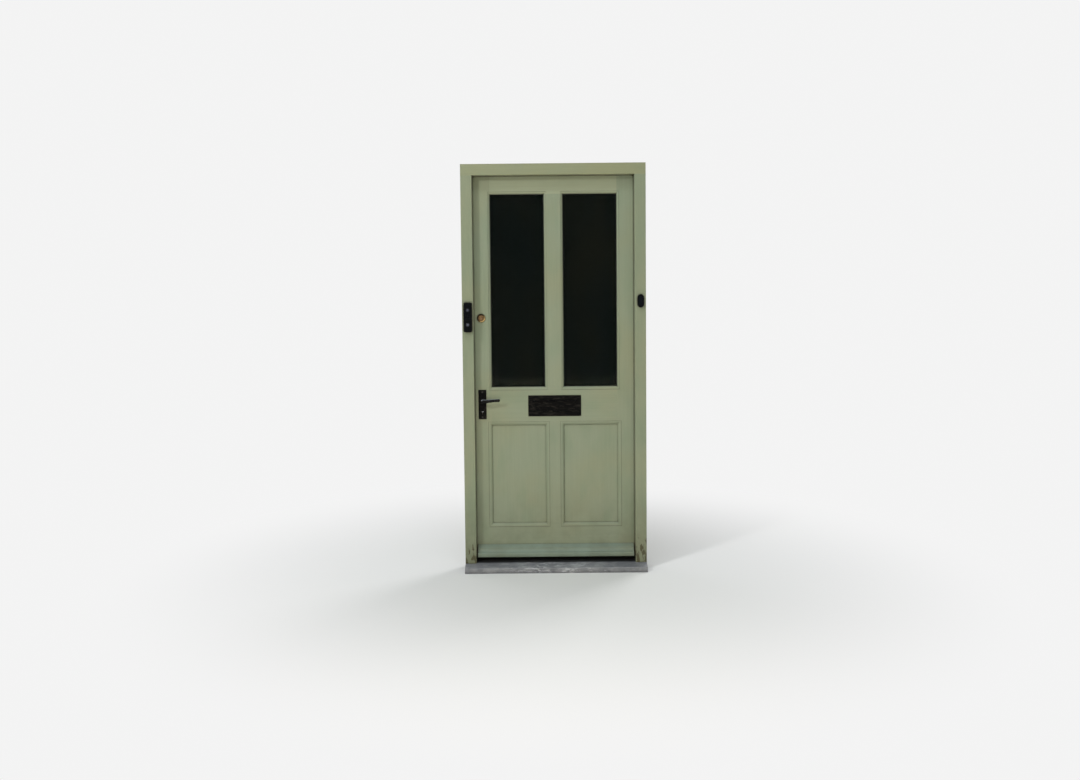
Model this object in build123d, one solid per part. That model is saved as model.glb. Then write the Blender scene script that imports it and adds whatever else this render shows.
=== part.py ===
from build123d import *
import os
from math import cos, radians, sin

# Half glazed timber entrance door: one panelled leaf, hung in its rebated frame on a sill.
# Millimetres. X runs from the lock side to the hinge side, Y from the street into the house,
# Z up. The origin is on the underside of the sill, at the middle of the width and in the
# plane of the frame's outer face.

# Leaf and the gaps round it
LEAF_W = 838.0
LEAF_H = 1981.0
LEAF_T = 44.0
SIDE_GAP = 3.0
FOOT_GAP = 6.0

# Frame: one rebated section for the jambs and the head
FRAME_FACE = 57.0
FRAME_DEPTH = 94.0
STOP = 12.0
SEAL_GAP = 3.0
FRAME_ARRIS = 3.0

# Sill
SILL_H = 45.0
SILL_PROJECT = 60.0
SILL_FALL = 18.0
SILL_NOSE = 5.0
DRIP_R = 3.0
DRIP_SETBACK = 14.0

# Joinery
TENON_T = 14.0
TENON_LONG = 60.0
TENON_SHORT = 20.0
TENON_SHOULDER = 15.0
JAMB_TENON_T = 20.0
JAMB_TENON_W = 30.0
JOINT_CLEAR = 0.15

# Members of the leaf, each width up to its sight line
STILE_W = 96.0
MUNTIN_W = 96.0
TOP_RAIL_W = 102.0
LOCK_RAIL_W = 199.0
BOTTOM_RAIL_W = 184.0
LOCK_RAIL_TOP = 893.0
LEAF_ARRIS = 1.5

# Mouldings worked on the members
LIGHT_MOULD_SIDE = 11.0
LIGHT_MOULD_TOP = 13.0
LIGHT_MOULD_FOOT = 16.0
LIGHT_MOULD_DEPTH = 12.0
PANEL_MOULD_W = 20.0
PANEL_MOULD_DEPTH = 11.0
QUIRK = 2.0
PANEL_SET_BACK = 13.0
GROOVE_DEPTH = 10.0
PANEL_CLEAR = 0.8

# Glazing
GLASS_REBATE_W = 12.0
GLASS_REBATE_Y = 14.0
PANE_T = 4.0
SPACER_T = 10.0
SPACER_W = 8.0
GLASS_CLEAR = 2.5
GLAZING_TAPE = 0.3
BEAD_ROUND = 8.0

# Foot of the leaf, threshold bar and weatherboard
FOOT_REBATE_DEPTH = 16.0
FOOT_REBATE_H = 11.0
BAR_T = 7.0
BAR_RISE = 13.0
BAR_STEM_T = 3.0
BAR_STEM_H = 8.0
BAR_SETBACK = 3.0
BOARD_LIFT = 11.0
BOARD_H = 63.0
BOARD_PROJECT = 38.0
BOARD_END_GAP = 7.0

# Weather seals
SEAL_W = 8.0
SEAL_STEM_T = 3.0
SEAL_STEM_H = 6.0
SEAL_CLEAR = 0.3

# Hinges
HINGE_H = 100.0
HINGE_FLAP_W = 28.0
HINGE_FLAP_T = 2.5
KNUCKLE_R = 5.5
KNUCKLES = 5
KNUCKLE_GAP = 0.3
PIN_R = 3.0
PIN_CLEAR = 0.05
PIN_HEAD_R = 4.6
PIN_HEAD_H = 3.0
PIN_SET_OUT = 6.0
HINGE_DROP = 152.0
HINGE_LIFT = 228.0

# Screws
SCREW_R = 2.0
SCREW_HEAD_R = 4.0
SCREW_LEN = 26.0
SCREW_CLEAR = 0.1
SLOT_W = 1.0
SLOT_DEEP = 0.9

# Mortice sash lock, with the heights measured from the foot of the leaf
LEVER_HEIGHT = 824.0
KEY_DROP = 57.0
BACKSET = 47.0
CASE_DEPTH = 70.0
CASE_H = 120.0
CASE_T = 16.0
CASE_WALL = 2.0
CASE_ABOVE_LEVER = 31.0
FOREND_H = 160.0
FOREND_W = 22.0
FOREND_T = 3.0
LATCH_H = 18.0
LATCH_T = 11.4
LATCH_LEN = 24.0
LATCH_PROUD = 2.4
LATCH_ABOVE_LEVER = 11.0
BOLT_H = 24.0
BOLT_T = 11.0
BOLT_LEN = 30.0
BOLT_THROW = 20.0
BOLT_BELOW_KEY = 3.0
BOLT_TAIL_T = 3.0
LEVER_PLATES = 5
LEVER_PLATE_T = 1.3
LEVER_PLATE_GAP = 0.3
LEVER_POST_R = 2.5
SLIDE_CLEAR = 0.3
FOLLOWER_R = 9.5
SPINDLE = 8.0
SPINDLE_CLEAR = 0.05
KEEP_T = 2.5
KEEP_W = 24.0
KEEP_POCKET = 23.0
KEEP_WALL = 1.5
KEEP_ROOM = 2.0

# Lever handles
PLATE_W = 40.0
PLATE_H = 151.0
PLATE_T = 5.0
PLATE_BEVEL = 2.5
PLATE_ABOVE_LEVER = 56.0
COLLAR_R = 12.0
COLLAR_H = 4.0
NECK_R = 8.0
NECK_CLEAR = 0.06
GRIP_STAND_OFF = 41.0
GRIP_LEN = 92.0
GRIP_TIP_R = 8.5
GRIP_TIP_T = 8.0
GRIP_RISE = 5.5
KEYHOLE_R = 4.0
KEYHOLE_SLOT_W = 3.6
KEYHOLE_SLOT_H = 13.0
PLATE_SCREW_INSET = 11.0
PLATE_SCREW_BITE = 12.0

# Night latch
CYL_HEIGHT = 1250.0
CYL_BACKSET = 46.0
CYL_RING_R = 22.0
CYL_RING_T = 6.0
CYL_BODY_R = 14.0
CYL_LEN = 38.0
PLUG_R = 7.5
PLUG_CLEAR = 0.06
KEYWAY_W = 2.2
TAIL_BAR_W = 6.0
TAIL_BAR_T = 2.0
NIGHT_W = 72.0
NIGHT_H = 66.0
NIGHT_D = 28.0
NIGHT_WALL = 2.5
NIGHT_PLATE_T = 2.0
NIGHT_BOLT_H = 20.0
NIGHT_BOLT_T = 12.0
NIGHT_BOLT_LEN = 34.0
NIGHT_THROW = 14.0
NIGHT_KEEP_W = 26.0
NIGHT_KEEP_GAP = 5.0
NIGHT_KEEP_ROOM = 5.0
KNOB_R = 17.0
KNOB_H = 16.0
KNOB_STEM_R = 7.0
SNIB_W = 9.0
SNIB_H = 12.0
SNIB_TRAVEL = 8.0

# Letter plate, with its height measured from the foot of the leaf
LETTER_HEIGHT = 795.0
FLAP_W = 222.0
LETTER_BORDER = 25.0
LETTER_W = FLAP_W + 2 * LETTER_BORDER
LETTER_H = 108.0
LETTER_T = 4.0
LETTER_BEVEL = 2.5
SLOT_APERTURE_W = 200.0
SLOT_APERTURE_H = 38.0
FLAP_DROP = 52.0
FLAP_T = 3.0
FLAP_BARREL_R = 3.5
FLAP_PIN_R = 1.6
FLAP_CLEAR = 0.4
LUG_W = 7.0
INNER_LETTER_BORDER = 15.0
INNER_LETTER_W = FLAP_W + 2 * INNER_LETTER_BORDER
INNER_LETTER_H = 88.0
LETTER_BOLT_R = 2.5
LETTER_BOLT_INSET = 17.0
LETTER_NUT_R = 4.5
LETTER_NUT_H = 4.0

# Entry unit on the left jamb and bell push on the right jamb
ENTRY_W = 41.0
ENTRY_H = 148.0
ENTRY_D = 22.0
ENTRY_ROUND = 4.0
ENTRY_HEIGHT = 1257.0
ENTRY_INSET = 9.0
LENS_R = 9.0
LENS_RISE = 37.0
LENS_RISE_OUT = 1.6
BUTTON_R = 10.0
BUTTON_DROP = 37.0
BUTTON_PROUD = 1.5
BUTTON_TRAVEL = 1.2
BUTTON_CLEAR = 0.3
BUTTON_WELL = 4.5
BELL_W = 32.0
BELL_H = 66.0
BELL_D = 14.0
BELL_HEIGHT = 1333.0
BELL_INSET = 11.0
BELL_BUTTON_W = 18.0
BELL_BUTTON_H = 46.0

# Holes through the jambs for the screws that fix the frame in a wall
FIX_R = 4.1
FIX_HEAD_R = 8.0
FIX_HEAD_DEEP = 4.0
FIX_FIRST = 140.0
FIX_STEP = 600.0
FIX_COUNT = 4

# Planes worked out from the sizes above
LEAF_X = LEAF_W / 2
REBATE_X = LEAF_X + SIDE_GAP
STOP_X = REBATE_X - STOP
FRAME_X = STOP_X + FRAME_FACE
LEAF_Y0 = FRAME_DEPTH - LEAF_T
LEAF_Y1 = FRAME_DEPTH
LEAF_MID_Y = (LEAF_Y0 + LEAF_Y1) / 2
STOP_Y = LEAF_Y0 - SEAL_GAP
LEAF_Z0 = SILL_H + FOOT_GAP
LEAF_Z1 = LEAF_Z0 + LEAF_H
HEAD_REBATE_Z = LEAF_Z1 + SIDE_GAP
HEAD_STOP_Z = HEAD_REBATE_Z - STOP
FRAME_TOP = HEAD_STOP_Z + FRAME_FACE
JAMB_TENON_Y = (STOP_Y + FRAME_DEPTH) / 2

SIGHT_X0 = MUNTIN_W / 2
SIGHT_X1 = LEAF_X - STILE_W
LIGHT_Z0 = LEAF_Z0 + LOCK_RAIL_TOP
LIGHT_Z1 = LEAF_Z1 - TOP_RAIL_W
PANEL_Z0 = LEAF_Z0 + BOTTOM_RAIL_W
PANEL_Z1 = LIGHT_Z0 - LOCK_RAIL_W
PANEL_T = LEAF_T - 2 * PANEL_SET_BACK

HINGE_AXIS_X = LEAF_X + SIDE_GAP / 2
HINGE_AXIS_Y = LEAF_Y1 + PIN_SET_OUT
LEVER_X = -LEAF_X + BACKSET
LEVER_Z = LEAF_Z0 + LEVER_HEIGHT
KEY_Z = LEVER_Z - KEY_DROP
CYL_X = -LEAF_X + CYL_BACKSET
CYL_Z = LEAF_Z0 + CYL_HEIGHT
LETTER_Z = LEAF_Z0 + LETTER_HEIGHT
FOREND_Z = LEVER_Z - KEY_DROP / 2

ENTRY_X = -FRAME_X + ENTRY_INSET + ENTRY_W / 2
BELL_X = FRAME_X - BELL_INSET - BELL_W / 2

SIDES = {"left": -1, "right": 1}
nodes = {}
frame_screws = []
leaf_screws = []


def block(x0, x1, y0, y1, z0, z1):
    """Plain box between two corners."""
    centre = Pos((x0 + x1) / 2, (y0 + y1) / 2, (z0 + z1) / 2)
    return centre * Box(abs(x1 - x0), abs(y1 - y0), abs(z1 - z0))


def rod(x, y, z, radius, length, direction):
    """Cylinder that starts at a point and runs along a direction."""
    return Plane(origin=(x, y, z), z_dir=direction) * Pos(0, 0, length / 2) * Cylinder(radius, length)


def upright(points, z0, z1):
    """Plan outline of (x, y) points, raised from z0 to z1."""
    face = make_face(Polyline([(x, y, z0) for x, y in points], close=True))
    return extrude(face, amount=z1 - z0, dir=(0, 0, 1))


def across(points, x0, x1):
    """Side outline of (y, z) points, drawn out from x0 to x1."""
    face = make_face(Polyline([(x0, y, z) for y, z in points], close=True))
    return extrude(face, amount=x1 - x0, dir=(1, 0, 0))


def both_sides(shape):
    """The shape and its mirror image about the middle of the door's width."""
    return [shape, mirror(shape, about=Plane.YZ)]


def centred(half_width, y0, y1, z0, z1):
    return block(-half_width, half_width, y0, y1, z0, z1)


def screw(x, y, z, direction, length=SCREW_LEN, clearance=0.0, slot=True):
    """Countersunk screw whose flat head lies at a point; the direction points to its tip."""
    head_h = SCREW_HEAD_R - SCREW_R
    plane = Plane(origin=(x, y, z), z_dir=direction)
    head = Pos(0, 0, head_h / 2) * Cone(SCREW_HEAD_R + clearance, SCREW_R + clearance, head_h)
    shank = Pos(0, 0, length / 2) * Cylinder(SCREW_R + clearance, length + clearance)
    body = head + shank
    if slot:
        body -= Box(3 * SCREW_HEAD_R, SLOT_W, 2 * SLOT_DEEP)
    return plane * body


def screw_hole(x, y, z, direction, length=SCREW_LEN):
    return screw(x, y, z, direction, length + 1, SCREW_CLEAR, slot=False)


def opening_view(low, high, low_w, high_w, depth, reach, place):
    """One view of a moulded opening: straight at its sight size, with an ovolo at the face.

    place(u, d) gives the point at u across the opening and d deep into the wood.
    """
    def ovolo(edge, width, way):
        bulge = edge + way * width * (1 - cos(radians(45)))
        middle = depth - (depth - QUIRK) * sin(radians(45))
        return ThreePointArc(
            place(edge, depth),
            place(bulge, middle),
            place(edge + way * width, QUIRK),
        )

    edges = [
        Line(place(low, reach), place(low, depth)),
        ovolo(low, low_w, -1),
        Line(place(low - low_w, QUIRK), place(low - low_w, -1)),
        Line(place(low - low_w, -1), place(high + high_w, -1)),
        Line(place(high + high_w, -1), place(high + high_w, QUIRK)),
        ovolo(high, high_w, 1),
        Line(place(high, depth), place(high, reach)),
        Line(place(high, reach), place(low, reach)),
    ]
    return make_face(edges)


def moulded_opening(x0, x1, z0, z1, widths, face_y, way, depth, reach):
    """Cutter for an opening with mitred ovolo edges at one face of the leaf."""
    side_w, foot_w, top_w = widths
    below = z0 - 2 * foot_w
    beside = x0 - 2 * side_w
    plan = opening_view(x0, x1, side_w, side_w, depth, reach, lambda u, d: (u, face_y + way * d, below))
    side = opening_view(z0, z1, foot_w, top_w, depth, reach, lambda u, d: (beside, face_y + way * d, u))
    column = extrude(plan, amount=z1 - z0 + 4 * max(foot_w, top_w), dir=(0, 0, 1))
    beam = extrude(side, amount=x1 - x0 + 4 * side_w, dir=(1, 0, 0))
    return column & beam


def light_cut(x0, x1):
    """Everything cut for one light: moulded outer edge, then the glazing rebate behind it."""
    widths = (LIGHT_MOULD_SIDE, LIGHT_MOULD_FOOT, LIGHT_MOULD_TOP)
    front = moulded_opening(
        x0, x1, LIGHT_Z0, LIGHT_Z1, widths, LEAF_Y0, 1, LIGHT_MOULD_DEPTH, GLASS_REBATE_Y + 1
    )
    rebate = block(
        x0 - GLASS_REBATE_W, x1 + GLASS_REBATE_W, LEAF_Y0 + GLASS_REBATE_Y, LEAF_Y1 + 1,
        LIGHT_Z0 - GLASS_REBATE_W, LIGHT_Z1 + GLASS_REBATE_W,
    )
    return front + rebate


def panel_cut(x0, x1):
    """Everything cut for one panel: moulded edges on both faces and the groove between them."""
    widths = (PANEL_MOULD_W, PANEL_MOULD_W, PANEL_MOULD_W)
    cut = block(
        x0 - GROOVE_DEPTH, x1 + GROOVE_DEPTH, LEAF_Y0 + PANEL_SET_BACK, LEAF_Y1 - PANEL_SET_BACK,
        PANEL_Z0 - GROOVE_DEPTH, PANEL_Z1 + GROOVE_DEPTH,
    )
    for face_y, way in ((LEAF_Y0, 1), (LEAF_Y1, -1)):
        cut += moulded_opening(
            x0, x1, PANEL_Z0, PANEL_Z1, widths, face_y, way, PANEL_MOULD_DEPTH, PANEL_SET_BACK + 1
        )
    return cut


def tenon(x0, x1, z0, z1, clearance=0.0):
    """Tenon in the middle of the leaf's thickness, or its mortise when given a clearance."""
    half = TENON_T / 2 + clearance
    return block(
        x0 - clearance, x1 + clearance, LEAF_MID_Y - half, LEAF_MID_Y + half,
        z0 - clearance, z1 + clearance,
    )


def make_frame():
    """Jambs, head and sill, joined with through tenons."""
    jamb_plan = [
        (STOP_X, 0), (FRAME_X, 0), (FRAME_X, FRAME_DEPTH), (REBATE_X, FRAME_DEPTH),
        (REBATE_X, STOP_Y), (STOP_X, STOP_Y),
    ]
    sill_side = [
        (-SILL_PROJECT, 0), (FRAME_DEPTH, 0), (FRAME_DEPTH, SILL_H), (LEAF_Y0, SILL_H),
        (-SILL_PROJECT, SILL_H - SILL_FALL),
    ]
    head_side = [
        (0, HEAD_STOP_Z), (STOP_Y, HEAD_STOP_Z), (STOP_Y, HEAD_REBATE_Z),
        (FRAME_DEPTH, HEAD_REBATE_Z), (FRAME_DEPTH, FRAME_TOP), (0, FRAME_TOP),
    ]
    sill_blank = across(sill_side, -FRAME_X, FRAME_X)
    head_blank = across(head_side, -FRAME_X, FRAME_X)

    tenon_x = (REBATE_X + FRAME_X) / 2
    tenon_y = JAMB_TENON_Y

    def jamb_tenon(z0, z1, clearance=0.0):
        half_x = JAMB_TENON_W / 2 + clearance
        half_y = JAMB_TENON_T / 2 + clearance
        return block(tenon_x - half_x, tenon_x + half_x, tenon_y - half_y, tenon_y + half_y, z0, z1)

    kerf_x = STOP_X + SEAL_W / 2 + 1
    kerf = block(
        kerf_x - SEAL_STEM_T / 2, kerf_x + SEAL_STEM_T / 2, STOP_Y - SEAL_STEM_H, STOP_Y + 1,
        SILL_H - SILL_FALL, HEAD_STOP_Z,
    )
    jamb = upright(jamb_plan, SILL_H - SILL_FALL, HEAD_REBATE_Z)
    arris = jamb.edges().filter_by(Axis.Z).sort_by_distance((STOP_X, 0, HEAD_REBATE_Z / 2))[0]
    jamb = fillet(arris, FRAME_ARRIS) - sill_blank - head_blank - kerf
    jamb += jamb_tenon(SILL_H / 3, SILL_H)
    jamb += jamb_tenon(HEAD_REBATE_Z, FRAME_TOP)
    for index in range(FIX_COUNT):
        z = FIX_FIRST + index * FIX_STEP
        jamb -= rod(REBATE_X - 1, LEAF_MID_Y, z, FIX_R, FRAME_X - REBATE_X + 2, (1, 0, 0))
        sink = Plane(origin=(REBATE_X, LEAF_MID_Y, z), z_dir=(1, 0, 0))
        jamb -= sink * Pos(0, 0, FIX_HEAD_DEEP / 2) * Cone(FIX_HEAD_R, FIX_R, FIX_HEAD_DEEP)

    nose = sill_blank.edges().filter_by(Axis.X).sort_by_distance((0, -SILL_PROJECT, SILL_H))[0]
    sill = fillet(nose, SILL_NOSE)
    sill -= rod(-FRAME_X, -SILL_PROJECT + DRIP_SETBACK, 0, DRIP_R, 2 * FRAME_X, (1, 0, 0))
    bar_y = LEAF_Y0 + BAR_SETBACK + BAR_T / 2
    sill -= centred(
        REBATE_X, bar_y - BAR_STEM_T / 2, bar_y + BAR_STEM_T / 2, SILL_H - BAR_STEM_H, SILL_H + 1
    )
    span = centred(STOP_X, -1, FRAME_DEPTH + 1, 0, FRAME_TOP + 1)
    head_arris = head_blank.edges().filter_by(Axis.X).sort_by_distance((0, 0, HEAD_STOP_Z))[0]
    head = (head_blank - span) + (fillet(head_arris, FRAME_ARRIS) & span)
    kerf_z = HEAD_STOP_Z + SEAL_W / 2 + 1
    head -= centred(
        STOP_X, STOP_Y - SEAL_STEM_H, STOP_Y + 1, kerf_z - SEAL_STEM_T / 2, kerf_z + SEAL_STEM_T / 2
    )
    for mortise in both_sides(jamb_tenon(SILL_H / 3 - 1, SILL_H + 1, JOINT_CLEAR)):
        sill -= mortise
    for mortise in both_sides(jamb_tenon(HEAD_STOP_Z, FRAME_TOP + 1, JOINT_CLEAR)):
        head -= mortise
    nodes["jamb_right"] = jamb
    nodes["jamb_left"] = mirror(jamb, about=Plane.YZ)
    nodes["frame_head"] = head
    nodes["sill"] = sill


def seal_outline(centre):
    """Stem and bulb of a weather seal: points (across, deep) with the bulb against the leaf."""
    half = SEAL_W / 2
    stem = SEAL_STEM_T / 2 - 0.05
    crest = LEAF_Y0 - SEAL_CLEAR
    return [
        (centre - stem, STOP_Y - SEAL_STEM_H + 0.3), (centre + stem, STOP_Y - SEAL_STEM_H + 0.3),
        (centre + stem, STOP_Y), (centre + half, STOP_Y), (centre + half * 0.8, crest - 0.6),
        (centre + half * 0.4, crest), (centre - half * 0.4, crest), (centre - half * 0.8, crest - 0.6),
        (centre - half, STOP_Y), (centre - stem, STOP_Y),
    ]


def make_seals():
    side = upright(seal_outline(STOP_X + SEAL_W / 2 + 1), SILL_H + 1, HEAD_STOP_Z)
    nodes["seal_right"] = side
    nodes["seal_left"] = mirror(side, about=Plane.YZ)
    head_points = [(deep, z) for z, deep in seal_outline(HEAD_STOP_Z + SEAL_W / 2 + 1)]
    nodes["seal_head"] = across(head_points, -STOP_X + 0.5, STOP_X - 0.5)


def make_threshold():
    """Black bar let into the sill, with a rubber lip behind it that meets the leaf."""
    y0 = LEAF_Y0 + BAR_SETBACK
    y1 = y0 + BAR_T
    middle = (y0 + y1) / 2
    stem = BAR_STEM_T / 2 - 0.05
    top = SILL_H + BAR_RISE
    bar = [
        (middle - stem, SILL_H - BAR_STEM_H + 0.2), (middle + stem, SILL_H - BAR_STEM_H + 0.2),
        (middle + stem, SILL_H), (y1, SILL_H), (y1, top), (y0 + 2, top), (y0, top - 4), (y0, SILL_H),
        (middle - stem, SILL_H),
    ]
    nodes["threshold_bar"] = across(bar, -REBATE_X + 0.3, REBATE_X - 0.3)
    lip_y = LEAF_Y0 + FOOT_REBATE_DEPTH - SEAL_CLEAR
    lip = [
        (y1, SILL_H + 3), (lip_y - 2, SILL_H + 4), (lip_y, SILL_H + 7), (lip_y, SILL_H + 10),
        (lip_y - 2, SILL_H + 11.5), (y1, SILL_H + 12.5),
    ]
    nodes["threshold_lip"] = across(lip, -REBATE_X + 0.3, REBATE_X - 0.3)


def make_members():
    """Stiles, rails and muntins, each tenoned and cut by the same openings."""
    cuts = []
    for sign in SIDES.values():
        x0, x1 = sorted((sign * SIGHT_X0, sign * SIGHT_X1))
        cuts.append(light_cut(x0, x1))
        cuts.append(panel_cut(x0, x1))
    foot = centred(
        LEAF_X + 1, LEAF_Y0 - 1, LEAF_Y0 + FOOT_REBATE_DEPTH, LEAF_Z0 - 1, LEAF_Z0 + FOOT_REBATE_H
    )
    x_in = SIGHT_X1
    rails = {
        "top_rail": (LIGHT_Z1, LEAF_Z1, TENON_LONG),
        "lock_rail": (PANEL_Z1, LIGHT_Z0, TENON_SHORT),
        "bottom_rail": (LEAF_Z0, PANEL_Z0, TENON_LONG),
    }
    muntins = {"upper_muntin": (LIGHT_Z0, LIGHT_Z1), "lower_muntin": (PANEL_Z0, PANEL_Z1)}
    foot_clear = {"bottom_rail": FOOT_REBATE_H + TENON_SHOULDER}
    stile_mortises = []
    muntin_mortises = []
    half = MUNTIN_W / 2

    for name, (z0, z1, length) in rails.items():
        low = z0 + foot_clear.get(name, TENON_SHOULDER)
        high = z1 - TENON_SHOULDER
        rail = centred(x_in, LEAF_Y0, LEAF_Y1, z0, z1) + tenon(-x_in - length, x_in + length, low, high)
        stile_mortises.append(tenon(-x_in - length, x_in + length, low, high, JOINT_CLEAR))
        nodes[name] = rail
    for name, (z0, z1) in muntins.items():
        tongue = half - TENON_SHOULDER
        length = TENON_LONG / 2
        low, high = z0 - length, z1 + length
        nodes[name] = centred(half, LEAF_Y0, LEAF_Y1, z0, z1) + tenon(-tongue, tongue, low, high)
        muntin_mortises.append(tenon(-tongue, tongue, low, high, JOINT_CLEAR))
    for name in rails:
        nodes[name] = nodes[name] - muntin_mortises - cuts - [foot]
    for name in muntins:
        nodes[name] = nodes[name] - cuts
    stile = block(x_in, LEAF_X, LEAF_Y0, LEAF_Y1, LEAF_Z0, LEAF_Z1)
    arris = stile.edges().filter_by(Axis.Z).sort_by_distance((LEAF_X, LEAF_Y0, LEAF_Z0 + LEAF_H / 2))[0]
    stile = fillet(arris, LEAF_ARRIS) - stile_mortises - [foot]
    nodes["hinge_stile"] = stile - cuts
    nodes["lock_stile"] = mirror(stile, about=Plane.YZ) - cuts


def make_panels():
    for side, sign in SIDES.items():
        x0, x1 = sorted((sign * SIGHT_X0, sign * SIGHT_X1))
        edge = GROOVE_DEPTH - PANEL_CLEAR
        nodes[f"panel_{side}"] = block(
            x0 - edge, x1 + edge, LEAF_Y0 + PANEL_SET_BACK, LEAF_Y1 - PANEL_SET_BACK,
            PANEL_Z0 - edge, PANEL_Z1 + edge,
        )


def glazing_beads(x0, x1):
    """Four mitred beads on the room side of one light."""
    unit = 2 * PANE_T + SPACER_T
    y0 = LEAF_Y0 + GLASS_REBATE_Y + GLAZING_TAPE + unit + GLAZING_TAPE
    grow = GLASS_REBATE_W
    ring = block(x0 - grow, x1 + grow, y0, LEAF_Y1, LIGHT_Z0 - grow, LIGHT_Z1 + grow)
    widths = (BEAD_ROUND, BEAD_ROUND, BEAD_ROUND)
    ring -= moulded_opening(
        x0, x1, LIGHT_Z0, LIGHT_Z1, widths, LEAF_Y1, -1, LEAF_Y1 - y0 - 2, LEAF_Y1 - y0 + 1
    )
    mid_x = (x0 + x1) / 2
    half_w = (x1 - x0) / 2 + grow
    low, high = LIGHT_Z0 - grow, LIGHT_Z1 + grow
    wedges = [
        [(mid_x - half_w, low), (mid_x + half_w, low), (mid_x, low + half_w)],
        [(mid_x - half_w, high), (mid_x, high - half_w), (mid_x + half_w, high)],
        [(mid_x - half_w, low), (mid_x, low + half_w), (mid_x, high - half_w), (mid_x - half_w, high)],
        [(mid_x + half_w, low), (mid_x + half_w, high), (mid_x, high - half_w), (mid_x, low + half_w)],
    ]
    beads = []
    for wedge in wedges:
        face = make_face(Polyline([(x, y0 - 1, z) for x, z in wedge], close=True))
        beads.append(ring & extrude(face, amount=LEAF_Y1 - y0 + 2, dir=(0, 1, 0)))
    return beads


def make_glazing():
    """Sealed units of two panes and a spacer bar, held in by beads from the room side."""
    spacers = []
    beads = []
    y0 = LEAF_Y0 + GLASS_REBATE_Y + GLAZING_TAPE
    reach = GLASS_REBATE_W - GLASS_CLEAR
    for side, sign in SIDES.items():
        x0, x1 = sorted((sign * SIGHT_X0, sign * SIGHT_X1))

        def sheet(y, thick, inset=0.0):
            return block(
                x0 - reach + inset, x1 + reach - inset, y, y + thick,
                LIGHT_Z0 - reach + inset, LIGHT_Z1 + reach - inset,
            )

        spacer_y = y0 + PANE_T
        panes = [sheet(y0, PANE_T), sheet(spacer_y + SPACER_T, PANE_T)]
        nodes[f"panes_{side}"] = Compound(children=panes)
        spacers.append(sheet(spacer_y, SPACER_T, 1) - sheet(spacer_y - 1, SPACER_T + 2, SPACER_W))
        beads += glazing_beads(x0, x1)
    nodes["spacer_bars"] = Compound(children=spacers)
    nodes["glazing_beads"] = Compound(children=beads)


def make_weatherboard():
    """Board with a splayed top, a hollow and a round nose, over the gap under the leaf."""
    back = LEAF_Y0
    front = LEAF_Y0 - BOARD_PROJECT
    z0 = LEAF_Z0 + BOARD_LIFT
    z1 = z0 + BOARD_H
    half = STOP_X - BOARD_END_GAP
    splay_y = back - BOARD_PROJECT * 0.52
    splay_z = z1 - BOARD_H * 0.21
    ledge_y = back - BOARD_PROJECT * 0.74
    ledge_z = z1 - BOARD_H * 0.55

    def at(y, z):
        return (-half, y, z)

    edges = [
        Line(at(back, z0), at(back, z1)),
        Line(at(back, z1), at(back - 2, z1 - 0.5)),
        Line(at(back - 2, z1 - 0.5), at(splay_y, splay_z)),
        Line(at(splay_y, splay_z), at(splay_y, splay_z - 2)),
        ThreePointArc(
            at(splay_y, splay_z - 2),
            at((splay_y + ledge_y) / 2 + 2, (splay_z + ledge_z) / 2 - 3),
            at(ledge_y, ledge_z),
        ),
        Line(at(ledge_y, ledge_z), at(ledge_y - 3, ledge_z - 1)),
        ThreePointArc(
            at(ledge_y - 3, ledge_z - 1), at(front + 2, ledge_z - 4), at(front, ledge_z - 9)
        ),
        Line(at(front, ledge_z - 9), at(front, z0 + 8)),
        ThreePointArc(at(front, z0 + 8), at(front + 1.8, z0 + 3.8), at(front + 6, z0 + 2)),
        Line(at(front + 6, z0 + 2), at(back, z0)),
    ]
    board = extrude(make_face(edges), amount=2 * half, dir=(1, 0, 0))
    groove = rod(-half, front + 12, z0, DRIP_R, 2 * half, (1, 0, 0))
    nodes["weatherboard"] = board - groove


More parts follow.
